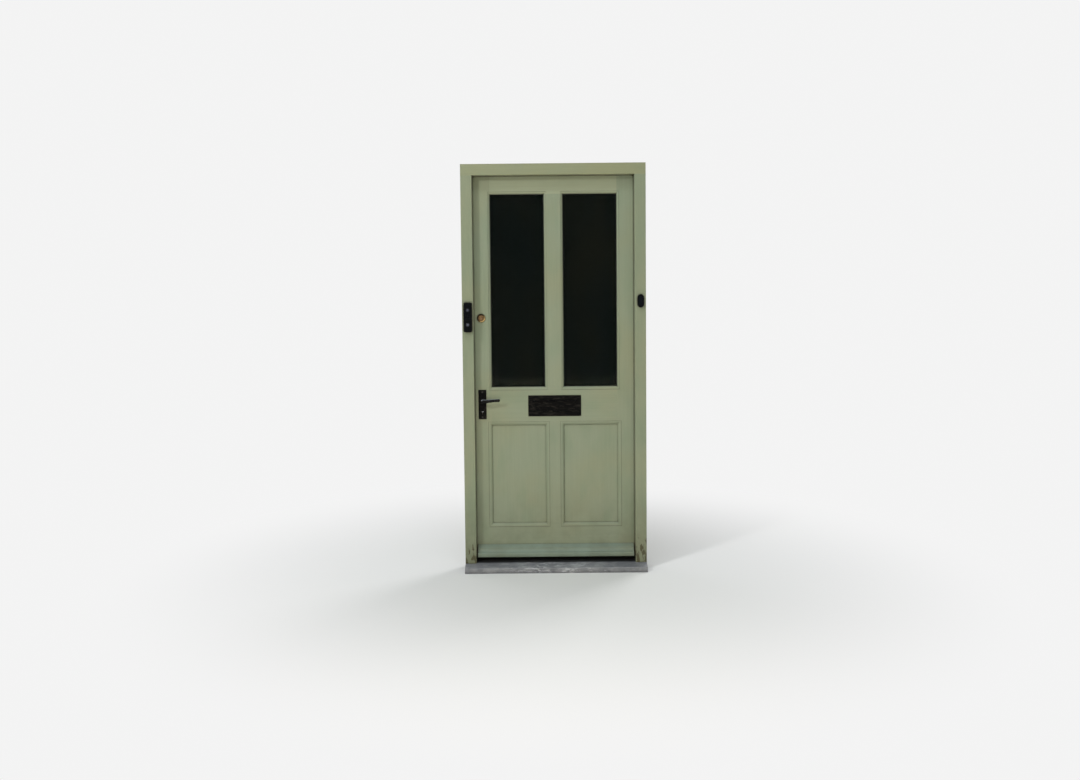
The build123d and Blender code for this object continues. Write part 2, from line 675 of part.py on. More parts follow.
def make_hinges():
    """Three butt hinges: the frame's flap has the odd knuckles and the leaf's flap the even ones."""
    span = LEAF_H - HINGE_DROP - HINGE_LIFT - HINGE_H
    foot = LEAF_Z0 + HINGE_LIFT
    step = HINGE_H / KNUCKLES
    flap_y0 = LEAF_Y1 - HINGE_FLAP_W
    inner = SIDE_GAP / 2
    outer = inner + HINGE_FLAP_T
    screw_rows = [HINGE_H * f for f in (0.14, 0.38, 0.62, 0.86)]
    flaps = {"frame": [], "leaf": []}
    pins = []
    for z0 in (foot, foot + span / 2, foot + span):
        for name, way in (("frame", 1), ("leaf", -1)):
            x_near = HINGE_AXIS_X + way * inner
            x_far = HINGE_AXIS_X + way * outer
            flap = block(x_near, x_far, flap_y0, LEAF_Y1, z0, z0 + HINGE_H)
            first = 0 if name == "frame" else 1
            for index in range(first, KNUCKLES, 2):
                low = z0 + index * step + KNUCKLE_GAP / 2
                high = z0 + (index + 1) * step - KNUCKLE_GAP / 2
                flap += block(x_near, x_far, LEAF_Y1, HINGE_AXIS_Y, low, high)
                flap += rod(HINGE_AXIS_X, HINGE_AXIS_Y, low, KNUCKLE_R, high - low, (0, 0, 1))
            flap -= rod(HINGE_AXIS_X, HINGE_AXIS_Y, z0 - 1, PIN_R + PIN_CLEAR, HINGE_H + 2, (0, 0, 1))
            recess = block(x_near - way, x_far, flap_y0, LEAF_Y1 + 1, z0, z0 + HINGE_H)
            member = "jamb_right" if name == "frame" else "hinge_stile"
            nodes[member] -= recess
            for index, row in enumerate(screw_rows):
                y = flap_y0 + HINGE_FLAP_W * (0.3 if index % 2 else 0.65)
                spot = (x_near, y, z0 + row, (way, 0, 0))
                flap -= screw_hole(*spot)
                nodes[member] -= screw_hole(*spot)
                (frame_screws if name == "frame" else leaf_screws).append(screw(*spot))
            flaps[name].append(flap)
        pin = rod(HINGE_AXIS_X, HINGE_AXIS_Y, z0, PIN_R, HINGE_H, (0, 0, 1))
        pin += rod(HINGE_AXIS_X, HINGE_AXIS_Y, z0 + HINGE_H, PIN_HEAD_R, PIN_HEAD_H, (0, 0, 1))
        pin += rod(HINGE_AXIS_X, HINGE_AXIS_Y, z0 - PIN_HEAD_H, PIN_HEAD_R, PIN_HEAD_H, (0, 0, 1))
        pins.append(pin)
    nodes["hinge_flaps_frame"] = Compound(children=flaps["frame"])
    nodes["hinge_flaps_leaf"] = Compound(children=flaps["leaf"])
    nodes["hinge_pins"] = Compound(children=pins)


def make_lock():
    """Mortice sash lock in the lock stile: case, forend, follower, latch and dead bolt, and keep."""
    x0 = -LEAF_X + FOREND_T
    x1 = -LEAF_X + CASE_DEPTH
    z1 = LEVER_Z + CASE_ABOVE_LEVER
    z0 = z1 - CASE_H
    y0 = LEAF_MID_Y - CASE_T / 2
    y1 = LEAF_MID_Y + CASE_T / 2
    wall = CASE_WALL
    latch_z = LEVER_Z + LATCH_ABOVE_LEVER
    bolt_z = KEY_Z - BOLT_BELOW_KEY

    def forend_slot(z, height, thick, clearance):
        half_z = height / 2 + clearance
        half_y = thick / 2 + clearance
        return block(
            -LEAF_X - 1, x0 + wall + 1, LEAF_MID_Y - half_y, LEAF_MID_Y + half_y, z - half_z, z + half_z
        )

    slots = [
        forend_slot(latch_z, LATCH_H, LATCH_T, SLIDE_CLEAR),
        forend_slot(bolt_z, BOLT_H, BOLT_T, SLIDE_CLEAR),
    ]
    case = block(x0, x1, y0, y1, z0, z1)
    case -= block(x0 + wall, x1 - wall, y0 + wall, y1 - wall, z0 + wall, z1 - wall)
    case = case - slots
    case -= rod(LEVER_X, y0 - 1, LEVER_Z, FOLLOWER_R - 2, CASE_T + 2, (0, 1, 0))
    case -= rod(LEVER_X, y0 - 1, KEY_Z, KEYHOLE_R + 1, CASE_T + 2, (0, 1, 0))
    nodes["lock_case"] = case

    forend_low = FOREND_Z - FOREND_H / 2
    forend_high = FOREND_Z + FOREND_H / 2
    half_w = FOREND_W / 2
    forend = block(-LEAF_X, x0, LEAF_MID_Y - half_w, LEAF_MID_Y + half_w, forend_low, forend_high)
    spots = [(-LEAF_X, LEAF_MID_Y, z, (1, 0, 0)) for z in (forend_low + 8, forend_high - 8)]
    forend = forend - slots - [screw_hole(*spot) for spot in spots]
    nodes["lock_forend"] = forend
    leaf_screws.extend(screw(*spot) for spot in spots)

    stile = nodes["lock_stile"]
    stile -= block(-LEAF_X - 1, x1 + 0.5, y0 - 0.3, y1 + 0.3, z0 - 0.3, z1 + 0.3)
    stile -= block(
        -LEAF_X - 1, x0, LEAF_MID_Y - half_w - 0.1, LEAF_MID_Y + half_w + 0.1,
        forend_low - 0.1, forend_high + 0.1,
    )
    stile = stile - [screw_hole(*spot) for spot in spots]
    stile -= rod(LEVER_X, LEAF_Y0 - 1, LEVER_Z, FOLLOWER_R + 1, LEAF_T + 2, (0, 1, 0))
    stile -= rod(LEVER_X, LEAF_Y0 - 1, KEY_Z, KEYHOLE_R + 2, LEAF_T + 2, (0, 1, 0))
    nodes["lock_stile"] = stile

    room_y = CASE_T - 2 * wall - 1
    follower = rod(LEVER_X, LEAF_MID_Y - room_y / 2 + BOLT_TAIL_T, LEVER_Z, FOLLOWER_R,
                   room_y - BOLT_TAIL_T, (0, 1, 0))
    follower += block(
        LEVER_X - 3, LEVER_X + 3, LEAF_MID_Y - room_y / 2 + BOLT_TAIL_T, LEAF_MID_Y + room_y / 2,
        LEVER_Z, LEVER_Z + FOLLOWER_R + 5,
    )
    half_s = SPINDLE / 2 + SPINDLE_CLEAR
    follower -= block(LEVER_X - half_s, LEVER_X + half_s, y0, y1, LEVER_Z - half_s, LEVER_Z + half_s)
    nodes["follower"] = follower

    tip = -LEAF_X - LATCH_PROUD
    half_h = LATCH_H / 2
    half_t = LATCH_T / 2
    latch_plan = [
        (tip, LEAF_MID_Y + half_t), (tip, LEAF_MID_Y + half_t - 3), (-LEAF_X, LEAF_MID_Y - half_t),
        (tip + LATCH_LEN, LEAF_MID_Y - half_t), (tip + LATCH_LEN, LEAF_MID_Y + half_t),
    ]
    latch = upright(latch_plan, latch_z - half_h, latch_z + half_h)
    tail_y = LEAF_MID_Y - room_y / 2 + 0.2
    tail_end = x1 - wall - 3 - LATCH_PROUD
    latch += block(
        tip + LATCH_LEN, tail_end, tail_y, tail_y + BOLT_TAIL_T - 0.4, latch_z + 1, latch_z + half_h
    )
    nodes["latch_bolt"] = latch

    half_b = BOLT_H / 2
    half_bt = BOLT_T / 2
    bolt = block(
        -LEAF_X, -LEAF_X + BOLT_LEN, LEAF_MID_Y - half_bt, LEAF_MID_Y + half_bt,
        bolt_z - half_b, bolt_z + half_b,
    )
    bolt += block(
        -LEAF_X + BOLT_LEN, x1 - wall - 3, tail_y, tail_y + BOLT_TAIL_T - 0.4,
        bolt_z - half_b, bolt_z + half_b - 4,
    )
    bolt -= rod(LEVER_X, tail_y - 1, KEY_Z, KEYHOLE_R + 3, BOLT_TAIL_T + 2, (0, 1, 0))
    nodes["dead_bolt"] = bolt

    post_x = x1 - wall - 6
    post_z = KEY_Z + KEYHOLE_R + 14
    nodes["lock_case"] += rod(post_x, y0 + wall, post_z, LEVER_POST_R, CASE_T - 2 * wall, (0, 1, 0))
    plates = []
    for index in range(LEVER_PLATES):
        y = tail_y + BOLT_TAIL_T + index * (LEVER_PLATE_T + LEVER_PLATE_GAP)
        plate = block(
            LEVER_X - 16, post_x + 4.5, y, y + LEVER_PLATE_T, KEY_Z + KEYHOLE_R + 3, post_z + 5.5
        )
        plate = fillet(plate.edges().filter_by(Axis.Y), 4)
        plate -= rod(LEVER_X, y - 1, KEY_Z, KEYHOLE_R + 7, LEVER_PLATE_T + 2, (0, 1, 0))
        plate -= rod(post_x, y - 1, post_z, LEVER_POST_R + 0.1, LEVER_PLATE_T + 2, (0, 1, 0))
        plates.append(plate)
    nodes["lock_levers"] = Compound(children=plates)

    make_lock_keep(latch_z, bolt_z, forend_low, forend_high)


def make_lock_keep(latch_z, bolt_z, low, high):
    """Box keep let into the left jamb, with a pocket for each bolt."""
    face = -REBATE_X
    back = face - KEEP_T
    half_w = KEEP_W / 2
    keep = block(back, face, LEAF_MID_Y - half_w, LEAF_MID_Y + half_w, low, high)
    pocket_room = [
        (latch_z, LATCH_H / 2 + KEEP_ROOM, LATCH_T / 2 + KEEP_ROOM),
        (bolt_z, BOLT_H / 2 + KEEP_ROOM, BOLT_T / 2 + KEEP_ROOM),
    ]
    for z, half_h, half_t in pocket_room:
        wall = KEEP_WALL
        keep += block(
            face - KEEP_POCKET, back, LEAF_MID_Y - half_t - wall, LEAF_MID_Y + half_t + wall,
            z - half_h - wall, z + half_h + wall,
        )
    for z, half_h, half_t in pocket_room:
        keep -= block(
            face - KEEP_POCKET + KEEP_WALL, face + 1, LEAF_MID_Y - half_t, LEAF_MID_Y + half_t,
            z - half_h, z + half_h,
        )
    spots = [(face, LEAF_MID_Y, z, (-1, 0, 0)) for z in (low + 8, high - 8)]
    keep = keep - [screw_hole(*spot) for spot in spots]
    jamb = nodes["jamb_left"] - [screw_hole(*spot) for spot in spots]
    jamb -= block(
        back, face + 1, LEAF_MID_Y - half_w - 0.1, LEAF_MID_Y + half_w + 0.1, low - 0.1, high + 0.1
    )
    for z, half_h, half_t in pocket_room:
        grow = KEEP_WALL + 0.5
        jamb -= block(
            face - KEEP_POCKET - 0.5, face, LEAF_MID_Y - half_t - grow, LEAF_MID_Y + half_t + grow,
            z - half_h - grow, z + half_h + grow,
        )
    nodes["jamb_left"] = jamb
    nodes["lock_keep"] = keep
    frame_screws.extend(screw(*spot) for spot in spots)


def keyhole_cut(y0, y1):
    hole = rod(LEVER_X, y0, KEY_Z, KEYHOLE_R, y1 - y0, (0, 1, 0))
    half = KEYHOLE_SLOT_W / 2
    return hole + block(LEVER_X - half, LEVER_X + half, y0, y1, KEY_Z - KEYHOLE_SLOT_H, KEY_Z)


def lever_backplate(face_y, way):
    """Bevelled plate with a collar for the lever's neck and a keyhole."""
    z1 = LEVER_Z + PLATE_ABOVE_LEVER
    z0 = z1 - PLATE_H
    half = PLATE_W / 2
    outer = face_y + way * PLATE_T
    plate = block(LEVER_X - half, LEVER_X + half, face_y, outer, z0, z1)
    rim = plate.faces().sort_by(Axis.Y)[0 if way < 0 else -1].edges()
    plate = chamfer(rim, PLATE_BEVEL)
    plate += rod(LEVER_X, outer, LEVER_Z, COLLAR_R, COLLAR_H, (0, way, 0))
    reach = PLATE_T + COLLAR_H + 2
    plate -= rod(LEVER_X, face_y - way, LEVER_Z, NECK_R + NECK_CLEAR, reach, (0, way, 0))
    plate -= keyhole_cut(min(face_y, outer) - 1, max(face_y, outer) + 1)
    spots = [(LEVER_X, outer, z, (0, -way, 0)) for z in (z0 + PLATE_SCREW_INSET, z1 - PLATE_SCREW_INSET)]
    return plate, spots


def lever(face_y, way):
    """Neck, then a grip that thins, rises slightly and ends in a round, flattened tip."""
    start = PLATE_T + 0.3
    neck = rod(LEVER_X, face_y + way * start, LEVER_Z, NECK_R, GRIP_STAND_OFF - start, (0, way, 0))
    grip_y = face_y + way * GRIP_STAND_OFF
    neck += Pos(LEVER_X, grip_y, LEVER_Z) * Sphere(NECK_R)
    tip_x = LEVER_X + GRIP_LEN - GRIP_TIP_R
    stations = [
        (0.00, 0.0, 21.0, 12.0),
        (0.25, 1.2, 18.5, 10.4),
        (0.50, 2.9, 16.5, 9.4),
        (0.75, 4.5, 15.5, 8.8),
        (1.00, GRIP_RISE, 15.5, GRIP_TIP_T - 0.4),
    ]
    sections = []
    for along, rise, high, thick in stations:
        centre = (LEVER_X + along * (tip_x - LEVER_X), grip_y, LEVER_Z + rise)
        plane = Plane(origin=centre, x_dir=(0, 1, 0), z_dir=(1, 0, 0))
        sections.append(plane * Ellipse(thick / 2, high / 2))
    tip = rod(tip_x, grip_y - GRIP_TIP_T / 2, LEVER_Z + GRIP_RISE, GRIP_TIP_R, GRIP_TIP_T, (0, 1, 0))
    tip = fillet(tip.edges().filter_by(GeomType.CIRCLE), GRIP_TIP_T * 0.3)
    return neck + loft(sections) + tip


def make_handles():
    stile_holes = []
    for name, face_y, way in (("outer", LEAF_Y0, -1), ("inner", LEAF_Y1, 1)):
        plate, spots = lever_backplate(face_y, way)
        length = PLATE_T + PLATE_SCREW_BITE
        plate = plate - [screw_hole(*spot, length) for spot in spots]
        stile_holes += [screw_hole(*spot, length) for spot in spots]
        leaf_screws.extend(screw(*spot, length) for spot in spots)
        nodes[f"{name}_backplate"] = plate
        grip = lever(face_y, way)
        half = SPINDLE / 2 + SPINDLE_CLEAR
        depth = GRIP_STAND_OFF - 8
        y0, y1 = sorted((face_y, face_y + way * depth))
        nodes[f"{name}_lever"] = grip - block(
            LEVER_X - half, LEVER_X + half, y0, y1, LEVER_Z - half, LEVER_Z + half
        )
    nodes["lock_stile"] = nodes["lock_stile"] - stile_holes
    reach = GRIP_STAND_OFF - 10
    half = SPINDLE / 2
    nodes["spindle"] = block(
        LEVER_X - half, LEVER_X + half, LEAF_Y0 - reach, LEAF_Y1 + reach, LEVER_Z - half, LEVER_Z + half
    )


def make_night_latch():
    """Rim cylinder from the street side, latch case on the room side, keep on the jamb."""
    face = LEAF_Y0
    ring = rod(CYL_X, face, CYL_Z, CYL_RING_R, CYL_RING_T, (0, -1, 0))
    front = ring.faces().sort_by(Axis.Y)[0]
    ring = fillet(front.edges(), CYL_RING_T * 0.6)
    ring -= rod(CYL_X, face + 1, CYL_Z, CYL_BODY_R + 0.1, CYL_RING_T + 2, (0, -1, 0))
    nodes["cylinder_ring"] = ring
    body = rod(CYL_X, face - CYL_RING_T + 1, CYL_Z, CYL_BODY_R, CYL_LEN, (0, 1, 0))
    body -= rod(CYL_X, face - CYL_RING_T, CYL_Z, PLUG_R + PLUG_CLEAR, CYL_LEN + 2, (0, 1, 0))
    nodes["rim_cylinder"] = body
    plug = rod(CYL_X, face - CYL_RING_T + 0.6, CYL_Z, PLUG_R, CYL_LEN + 1, (0, 1, 0))
    half_k = KEYWAY_W / 2
    plug -= block(
        CYL_X - half_k, CYL_X + half_k, face - CYL_RING_T, face + CYL_LEN * 0.6,
        CYL_Z - PLUG_R + 1, CYL_Z + PLUG_R - 3,
    )
    bar_y0 = face - CYL_RING_T + CYL_LEN
    plug += block(
        CYL_X - TAIL_BAR_T / 2, CYL_X + TAIL_BAR_T / 2, bar_y0, LEAF_Y1 + NIGHT_D * 0.4,
        CYL_Z - TAIL_BAR_W / 2, CYL_Z + TAIL_BAR_W / 2,
    )
    nodes["cylinder_plug"] = plug
    nodes["lock_stile"] -= rod(CYL_X, face - 1, CYL_Z, CYL_BODY_R + 0.1, LEAF_T + 2, (0, 1, 0))

    x0 = -LEAF_X + 0.5
    x1 = x0 + NIGHT_W
    z0 = CYL_Z - NIGHT_H / 2
    z1 = CYL_Z + NIGHT_H / 2
    plate_y = LEAF_Y1 + NIGHT_PLATE_T
    out_y = LEAF_Y1 + NIGHT_D
    plate = block(x0 + 3, x1 - 3, LEAF_Y1, plate_y, z0 + 3, z1 - 3)
    plate -= rod(CYL_X, LEAF_Y1 - 1, CYL_Z, TAIL_BAR_W, NIGHT_PLATE_T + 2, (0, 1, 0))
    spots = [
        (x, plate_y, z, (0, -1, 0))
        for x in (CYL_X - 21, CYL_X + 19) for z in (CYL_Z - 22, CYL_Z + 22)
    ]
    plate = plate - [screw_hole(*spot) for spot in spots]
    nodes["night_latch_plate"] = plate
    nodes["lock_stile"] = nodes["lock_stile"] - [screw_hole(*spot) for spot in spots]
    leaf_screws.extend(screw(*spot) for spot in spots)

    wall = NIGHT_WALL
    case = block(x0, x1, LEAF_Y1, out_y, z0, z1)
    soft = case.edges().group_by(Axis.Y)[-1]
    case = fillet(soft, 4)
    case -= block(x0 + wall, x1 - wall, LEAF_Y1 - 1, out_y - wall, z0 + wall, z1 - wall)
    bolt_y = (plate_y + out_y - wall) / 2
    half_h = NIGHT_BOLT_H / 2
    half_t = NIGHT_BOLT_T / 2
    case -= block(
        x0 - 1, x0 + wall + 1, bolt_y - half_t - SLIDE_CLEAR, bolt_y + half_t + SLIDE_CLEAR,
        CYL_Z - half_h - SLIDE_CLEAR, CYL_Z + half_h + SLIDE_CLEAR,
    )
    case -= rod(CYL_X, out_y - wall - 1, CYL_Z, KNOB_STEM_R + NECK_CLEAR, wall + 2, (0, 1, 0))
    snib_x = (x0 + CYL_X - KNOB_R) / 2 + 1
    case -= block(
        snib_x - 2.5, snib_x + 2.5, out_y - wall - 1, out_y + 1,
        CYL_Z - 4 - SNIB_TRAVEL / 2, CYL_Z + 4 + SNIB_TRAVEL / 2,
    )
    nodes["night_latch_case"] = case
    bolt_plan = [
        (x0, bolt_y + half_t), (x0 + 0.8, bolt_y - half_t),
        (x0 + NIGHT_BOLT_LEN, bolt_y - half_t), (x0 + NIGHT_BOLT_LEN, bolt_y + half_t),
    ]
    nodes["night_latch_bolt"] = upright(bolt_plan, CYL_Z - half_h, CYL_Z + half_h)

    stem = rod(CYL_X, out_y - wall - 0.5, CYL_Z, KNOB_STEM_R, wall + 5, (0, 1, 0))
    knob = Pos(CYL_X, out_y + 4 + KNOB_H / 2, CYL_Z) * Box(2 * KNOB_R, KNOB_H, KNOB_R)
    knob = fillet(knob.edges().filter_by(Axis.Y), KNOB_R * 0.45)
    knob = fillet(knob.faces().sort_by(Axis.Y)[-1].edges(), 3)
    nodes["night_latch_knob"] = stem + knob

    snib_z = CYL_Z + SNIB_TRAVEL / 2
    stem_h = 7.6
    snib = block(
        snib_x - 2.2, snib_x + 2.2, out_y - wall - 1, out_y + 0.3, snib_z - stem_h / 2, snib_z + stem_h / 2
    )
    thumb = block(
        snib_x - SNIB_W / 2, snib_x + SNIB_W / 2, out_y + 0.3, out_y + 4.3,
        snib_z - SNIB_H / 2, snib_z + SNIB_H / 2,
    )
    nodes["night_latch_snib"] = snib + fillet(thumb.faces().sort_by(Axis.Y)[-1].edges(), 1.2)

    keep_x1 = x0 - NIGHT_KEEP_GAP
    keep_x0 = keep_x1 - NIGHT_KEEP_W
    keep = block(keep_x0, keep_x1, LEAF_Y1, out_y, z0, z1)
    keep = fillet(keep.edges().group_by(Axis.Y)[-1], 3)
    keep -= block(
        keep_x1 - NIGHT_THROW - NIGHT_KEEP_ROOM, keep_x1 + 1, bolt_y - half_t - 1.5, bolt_y + half_t + 1.5,
        CYL_Z - half_h - 1.5, CYL_Z + half_h + 1.5,
    )
    keep_spots = [
        (keep_x0 + NIGHT_KEEP_W * 0.38, LEAF_Y1 + 4, z, (0, -1, 0)) for z in (z0 + 10, z1 - 10)
    ]
    for x, y, z, _ in keep_spots:
        keep -= rod(x, y, z, SCREW_HEAD_R + 0.3, NIGHT_D, (0, 1, 0))
    keep = keep - [screw_hole(*spot) for spot in keep_spots]
    nodes["night_latch_keep"] = keep
    nodes["jamb_left"] = nodes["jamb_left"] - [screw_hole(*spot) for spot in keep_spots]
    frame_screws.extend(screw(*spot) for spot in keep_spots)


def letter_flap(face_y, way, drop):
    """Flap that hangs from a barrel, clear of its plate, with the pin and the lugs it turns in."""
    barrel_y = face_y + way * (FLAP_BARREL_R + FLAP_CLEAR)
    barrel_z = LETTER_Z + SLOT_APERTURE_H / 2 + FLAP_BARREL_R + 4
    half = FLAP_W / 2 - LUG_W - FLAP_CLEAR
    flap = rod(-half, barrel_y, barrel_z, FLAP_BARREL_R, 2 * half, (1, 0, 0))
    near, far = sorted((face_y + way * FLAP_CLEAR, face_y + way * (FLAP_CLEAR + FLAP_T)))
    leaf = centred(half, near, far, barrel_z - drop, barrel_z)
    front = leaf.faces().sort_by(Axis.Y)[0 if way < 0 else -1]
    foot = front.edges().sort_by(Axis.Z)[0]
    leaf = chamfer(foot, 1.4)
    flap += leaf
    flap -= rod(-half - 1, barrel_y, barrel_z, FLAP_PIN_R + PIN_CLEAR, 2 * half + 2, (1, 0, 0))
    pin = rod(-FLAP_W / 2, barrel_y, barrel_z, FLAP_PIN_R, FLAP_W, (1, 0, 0))
    lugs = []
    for sign in SIDES.values():
        edge = sign * FLAP_W / 2
        x0, x1 = sorted((edge, edge - sign * LUG_W))
        y0, y1 = sorted((face_y, barrel_y))
        lug = block(x0, x1, y0, y1, barrel_z - FLAP_BARREL_R, barrel_z + FLAP_BARREL_R)
        lug += rod(x0, barrel_y, barrel_z, FLAP_BARREL_R, LUG_W, (1, 0, 0))
        lugs.append(lug)
    bore = rod(-FLAP_W / 2 - 1, barrel_y, barrel_z, FLAP_PIN_R + PIN_CLEAR, FLAP_W + 2, (1, 0, 0))
    return flap, pin, lugs, bore


def make_letter_plate():
    aperture = centred(
        SLOT_APERTURE_W / 2, LEAF_Y0 - 20, LEAF_Y1 + 20,
        LETTER_Z - SLOT_APERTURE_H / 2, LETTER_Z + SLOT_APERTURE_H / 2,
    )
    bolt_x = LETTER_W / 2 - LETTER_BOLT_INSET
    sizes = {
        "outer": (LETTER_W, LETTER_H, LEAF_Y0, -1),
        "inner": (INNER_LETTER_W, INNER_LETTER_H, LEAF_Y1, 1),
    }
    pins = []
    for name, (width, height, face_y, way) in sizes.items():
        out_y = face_y + way * LETTER_T
        y0, y1 = sorted((face_y, out_y))
        plate = centred(width / 2, y0, y1, LETTER_Z - height / 2, LETTER_Z + height / 2)
        rim = plate.faces().sort_by(Axis.Y)[0 if way < 0 else -1].edges()
        plate = chamfer(rim, LETTER_BEVEL)
        flap, pin, lugs, bore = letter_flap(out_y, way, FLAP_DROP)
        plate = plate + lugs - bore - aperture
        if name == "inner":
            for sign in SIDES.values():
                plate -= rod(
                    sign * bolt_x, LEAF_Y1 - 1, LETTER_Z, LETTER_BOLT_R + 0.1, LETTER_T + 2, (0, 1, 0)
                )
        nodes[f"letter_plate_{name}"] = plate
        nodes[f"letter_flap_{name}"] = flap
        pins.append(pin)
    nodes["letter_pins"] = Compound(children=pins)
    bolts = []
    for sign in SIDES.values():
        shank = rod(sign * bolt_x, LEAF_Y0, LETTER_Z, LETTER_BOLT_R, LEAF_T + LETTER_T, (0, 1, 0))
        nut_y = LEAF_Y1 + LETTER_T
        bolts.append(shank + rod(sign * bolt_x, nut_y, LETTER_Z, LETTER_NUT_R, LETTER_NUT_H, (0, 1, 0)))
        nodes["lock_rail"] -= rod(
            sign * bolt_x, LEAF_Y0 - 1, LETTER_Z, LETTER_BOLT_R + 0.1, LEAF_T + 2, (0, 1, 0)
        )
    nodes["letter_bolts"] = Compound(children=bolts)
    nodes["lock_rail"] -= aperture


def make_entry_unit():
    """Black unit on the left jamb: a lens above, sound slots in the middle, a push button below."""
    z = LEAF_Z0 + ENTRY_HEIGHT
    half_w = ENTRY_W / 2
    half_h = ENTRY_H / 2
    case = block(ENTRY_X - half_w, ENTRY_X + half_w, -ENTRY_D, 0, z - half_h, z + half_h)
    case = fillet(case.edges().filter_by(Axis.Y), ENTRY_ROUND)
    case = fillet(case.faces().sort_by(Axis.Y)[0].edges(), ENTRY_ROUND / 3)
    lens_z = z + LENS_RISE
    button_z = z - BUTTON_DROP
    case -= rod(ENTRY_X, -ENTRY_D - 1, lens_z, LENS_R + 0.1, 4, (0, 1, 0))
    case -= rod(ENTRY_X, -ENTRY_D - 1, button_z, BUTTON_R + BUTTON_CLEAR, BUTTON_WELL + 1, (0, 1, 0))
    for index in range(4):
        slot_z = z - 12 + index * 8
        case -= block(
            ENTRY_X - half_w + 8, ENTRY_X + half_w - 8, -ENTRY_D - 1, -ENTRY_D + 1.2,
            slot_z - 0.8, slot_z + 0.8,
        )
    nodes["entry_case"] = case
    lens = rod(ENTRY_X, -ENTRY_D + 3, lens_z, LENS_R, 3, (0, -1, 0))
    dome = Plane(origin=(ENTRY_X, -ENTRY_D, lens_z), z_dir=(0, -1, 0)) * Pos(0, 0, LENS_RISE_OUT / 2)
    lens += dome * Cone(LENS_R - 2, LENS_R - 5, LENS_RISE_OUT)
    nodes["entry_lens"] = lens
    back_y = -ENTRY_D + BUTTON_WELL - BUTTON_TRAVEL - BUTTON_CLEAR
    button = rod(ENTRY_X, back_y, button_z, BUTTON_R, back_y + ENTRY_D + BUTTON_PROUD, (0, -1, 0))
    nodes["entry_button"] = fillet(button.faces().sort_by(Axis.Y)[0].edges(), 1)


def make_bell_push():
    z = LEAF_Z0 + BELL_HEIGHT

    def pill(width, height, y_back, length):
        plane = Plane(origin=(BELL_X, y_back, z), x_dir=(0, 0, 1), z_dir=(0, -1, 0))
        return extrude(plane * SlotOverall(height, width), amount=length)

    case = fillet(pill(BELL_W, BELL_H, 0, BELL_D).faces().sort_by(Axis.Y)[0].edges(), 4)
    case -= pill(
        BELL_BUTTON_W + 2 * BUTTON_CLEAR, BELL_BUTTON_H + 2 * BUTTON_CLEAR,
        -BELL_D + BUTTON_WELL, BUTTON_WELL + 2,
    )
    nodes["bell_case"] = case
    back_y = -BELL_D + BUTTON_WELL - BUTTON_TRAVEL - BUTTON_CLEAR
    button = pill(BELL_BUTTON_W, BELL_BUTTON_H, back_y, back_y + BELL_D + BUTTON_PROUD / 2)
    nodes["bell_button"] = fillet(button.faces().sort_by(Axis.Y)[0].edges(), 1)


make_frame()
make_seals()
make_threshold()
make_members()
make_panels()
make_glazing()
make_weatherboard()
make_hinges()
make_lock()
make_handles()
make_night_latch()
make_letter_plate()
make_entry_unit()
make_bell_push()
nodes["frame_screws"] = Compound(children=frame_screws)
nodes["leaf_screws"] = Compound(children=leaf_screws)

os.makedirs("parts", exist_ok=True)
for name, shape in nodes.items():
    export_step(shape, f"parts/{name}.step")
print(len(nodes), "nodes")
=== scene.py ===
"""Looks of a half glazed entrance door in its frame: finishes, glazing tape, studio and camera."""
import math

import bmesh
import bpy
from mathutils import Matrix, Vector


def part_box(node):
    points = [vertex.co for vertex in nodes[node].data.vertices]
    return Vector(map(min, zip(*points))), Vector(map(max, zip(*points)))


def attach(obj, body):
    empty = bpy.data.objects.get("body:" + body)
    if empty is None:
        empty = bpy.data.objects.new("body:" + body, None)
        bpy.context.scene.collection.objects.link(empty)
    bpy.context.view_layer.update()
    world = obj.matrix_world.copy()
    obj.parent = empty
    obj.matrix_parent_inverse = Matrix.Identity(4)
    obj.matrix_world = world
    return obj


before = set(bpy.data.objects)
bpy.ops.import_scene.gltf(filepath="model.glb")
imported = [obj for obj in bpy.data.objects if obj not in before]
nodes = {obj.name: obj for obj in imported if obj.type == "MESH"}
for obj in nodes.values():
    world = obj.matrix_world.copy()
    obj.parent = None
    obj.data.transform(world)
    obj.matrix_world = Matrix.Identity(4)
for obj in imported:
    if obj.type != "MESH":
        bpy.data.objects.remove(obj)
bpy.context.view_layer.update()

# Camera, as the photograph was taken: metres, and radians for the pitch down and the roll
EYE_X = -0.069
EYE_HEIGHT = 1.5665
EYE_DISTANCE = 5.5
LENS = 36.14
SENSOR = 36.0
SHIFT_Y = -0.0467
PITCH = math.radians(3.9)
ROLL = math.radians(0.55)

# Studio. The floor is itself within FLOOR_CLEAR of the door and is the background beyond FLOOR_FADE
FLOOR_RADIUS = 60.0
FLOOR_SEGMENTS = 96
FLOOR_CLEAR = 0.5
FLOOR_FADE = 2.3
FLOOR_COLOUR = (0.86, 0.86, 0.85, 1.0)
BACKGROUND = (0.9, 0.9, 0.9, 1.0)
SKY_LIGHT = (0.34, 0.353, 0.362, 1.0)
GROUND_LIGHT = (0.2, 0.19, 0.16, 1.0)
# Rise of a direction where the ground's light ends and where the sky's is full
GROUND_ENDS = -0.1
SKY_FULL = 0.8

# Sealed units: width of each pane that the wood hides, and the tape beside it
HIDDEN_BORDER = 0.0084
TAPE_W = 0.0035
TAPE_T = 0.0003

# Paint, in metres: heights where splashes with painted shade, and flaking, start and where they are full
SPLASH_AND_SHADE_TOP = 0.5
SPLASH_AND_SHADE_FULL = 0.04
FLAKING_TOP = 0.3
FLAKING_FULL = 0.07
# Share of grime and painted shade in the splashes, on sound paint and on the worn feet of the jambs
SPLASH_AND_SHADE_SHARE = 0.38
WORN_SPLASH_AND_SHADE_SHARE = 0.52
# Pattern value above which paint has flaked, how much lower it is at the ground, and the flakes' dirty rim
FLAKING_LIMIT = 0.735
FLAKING_GROWTH = 0.2
FLAKE_RIM = 0.012
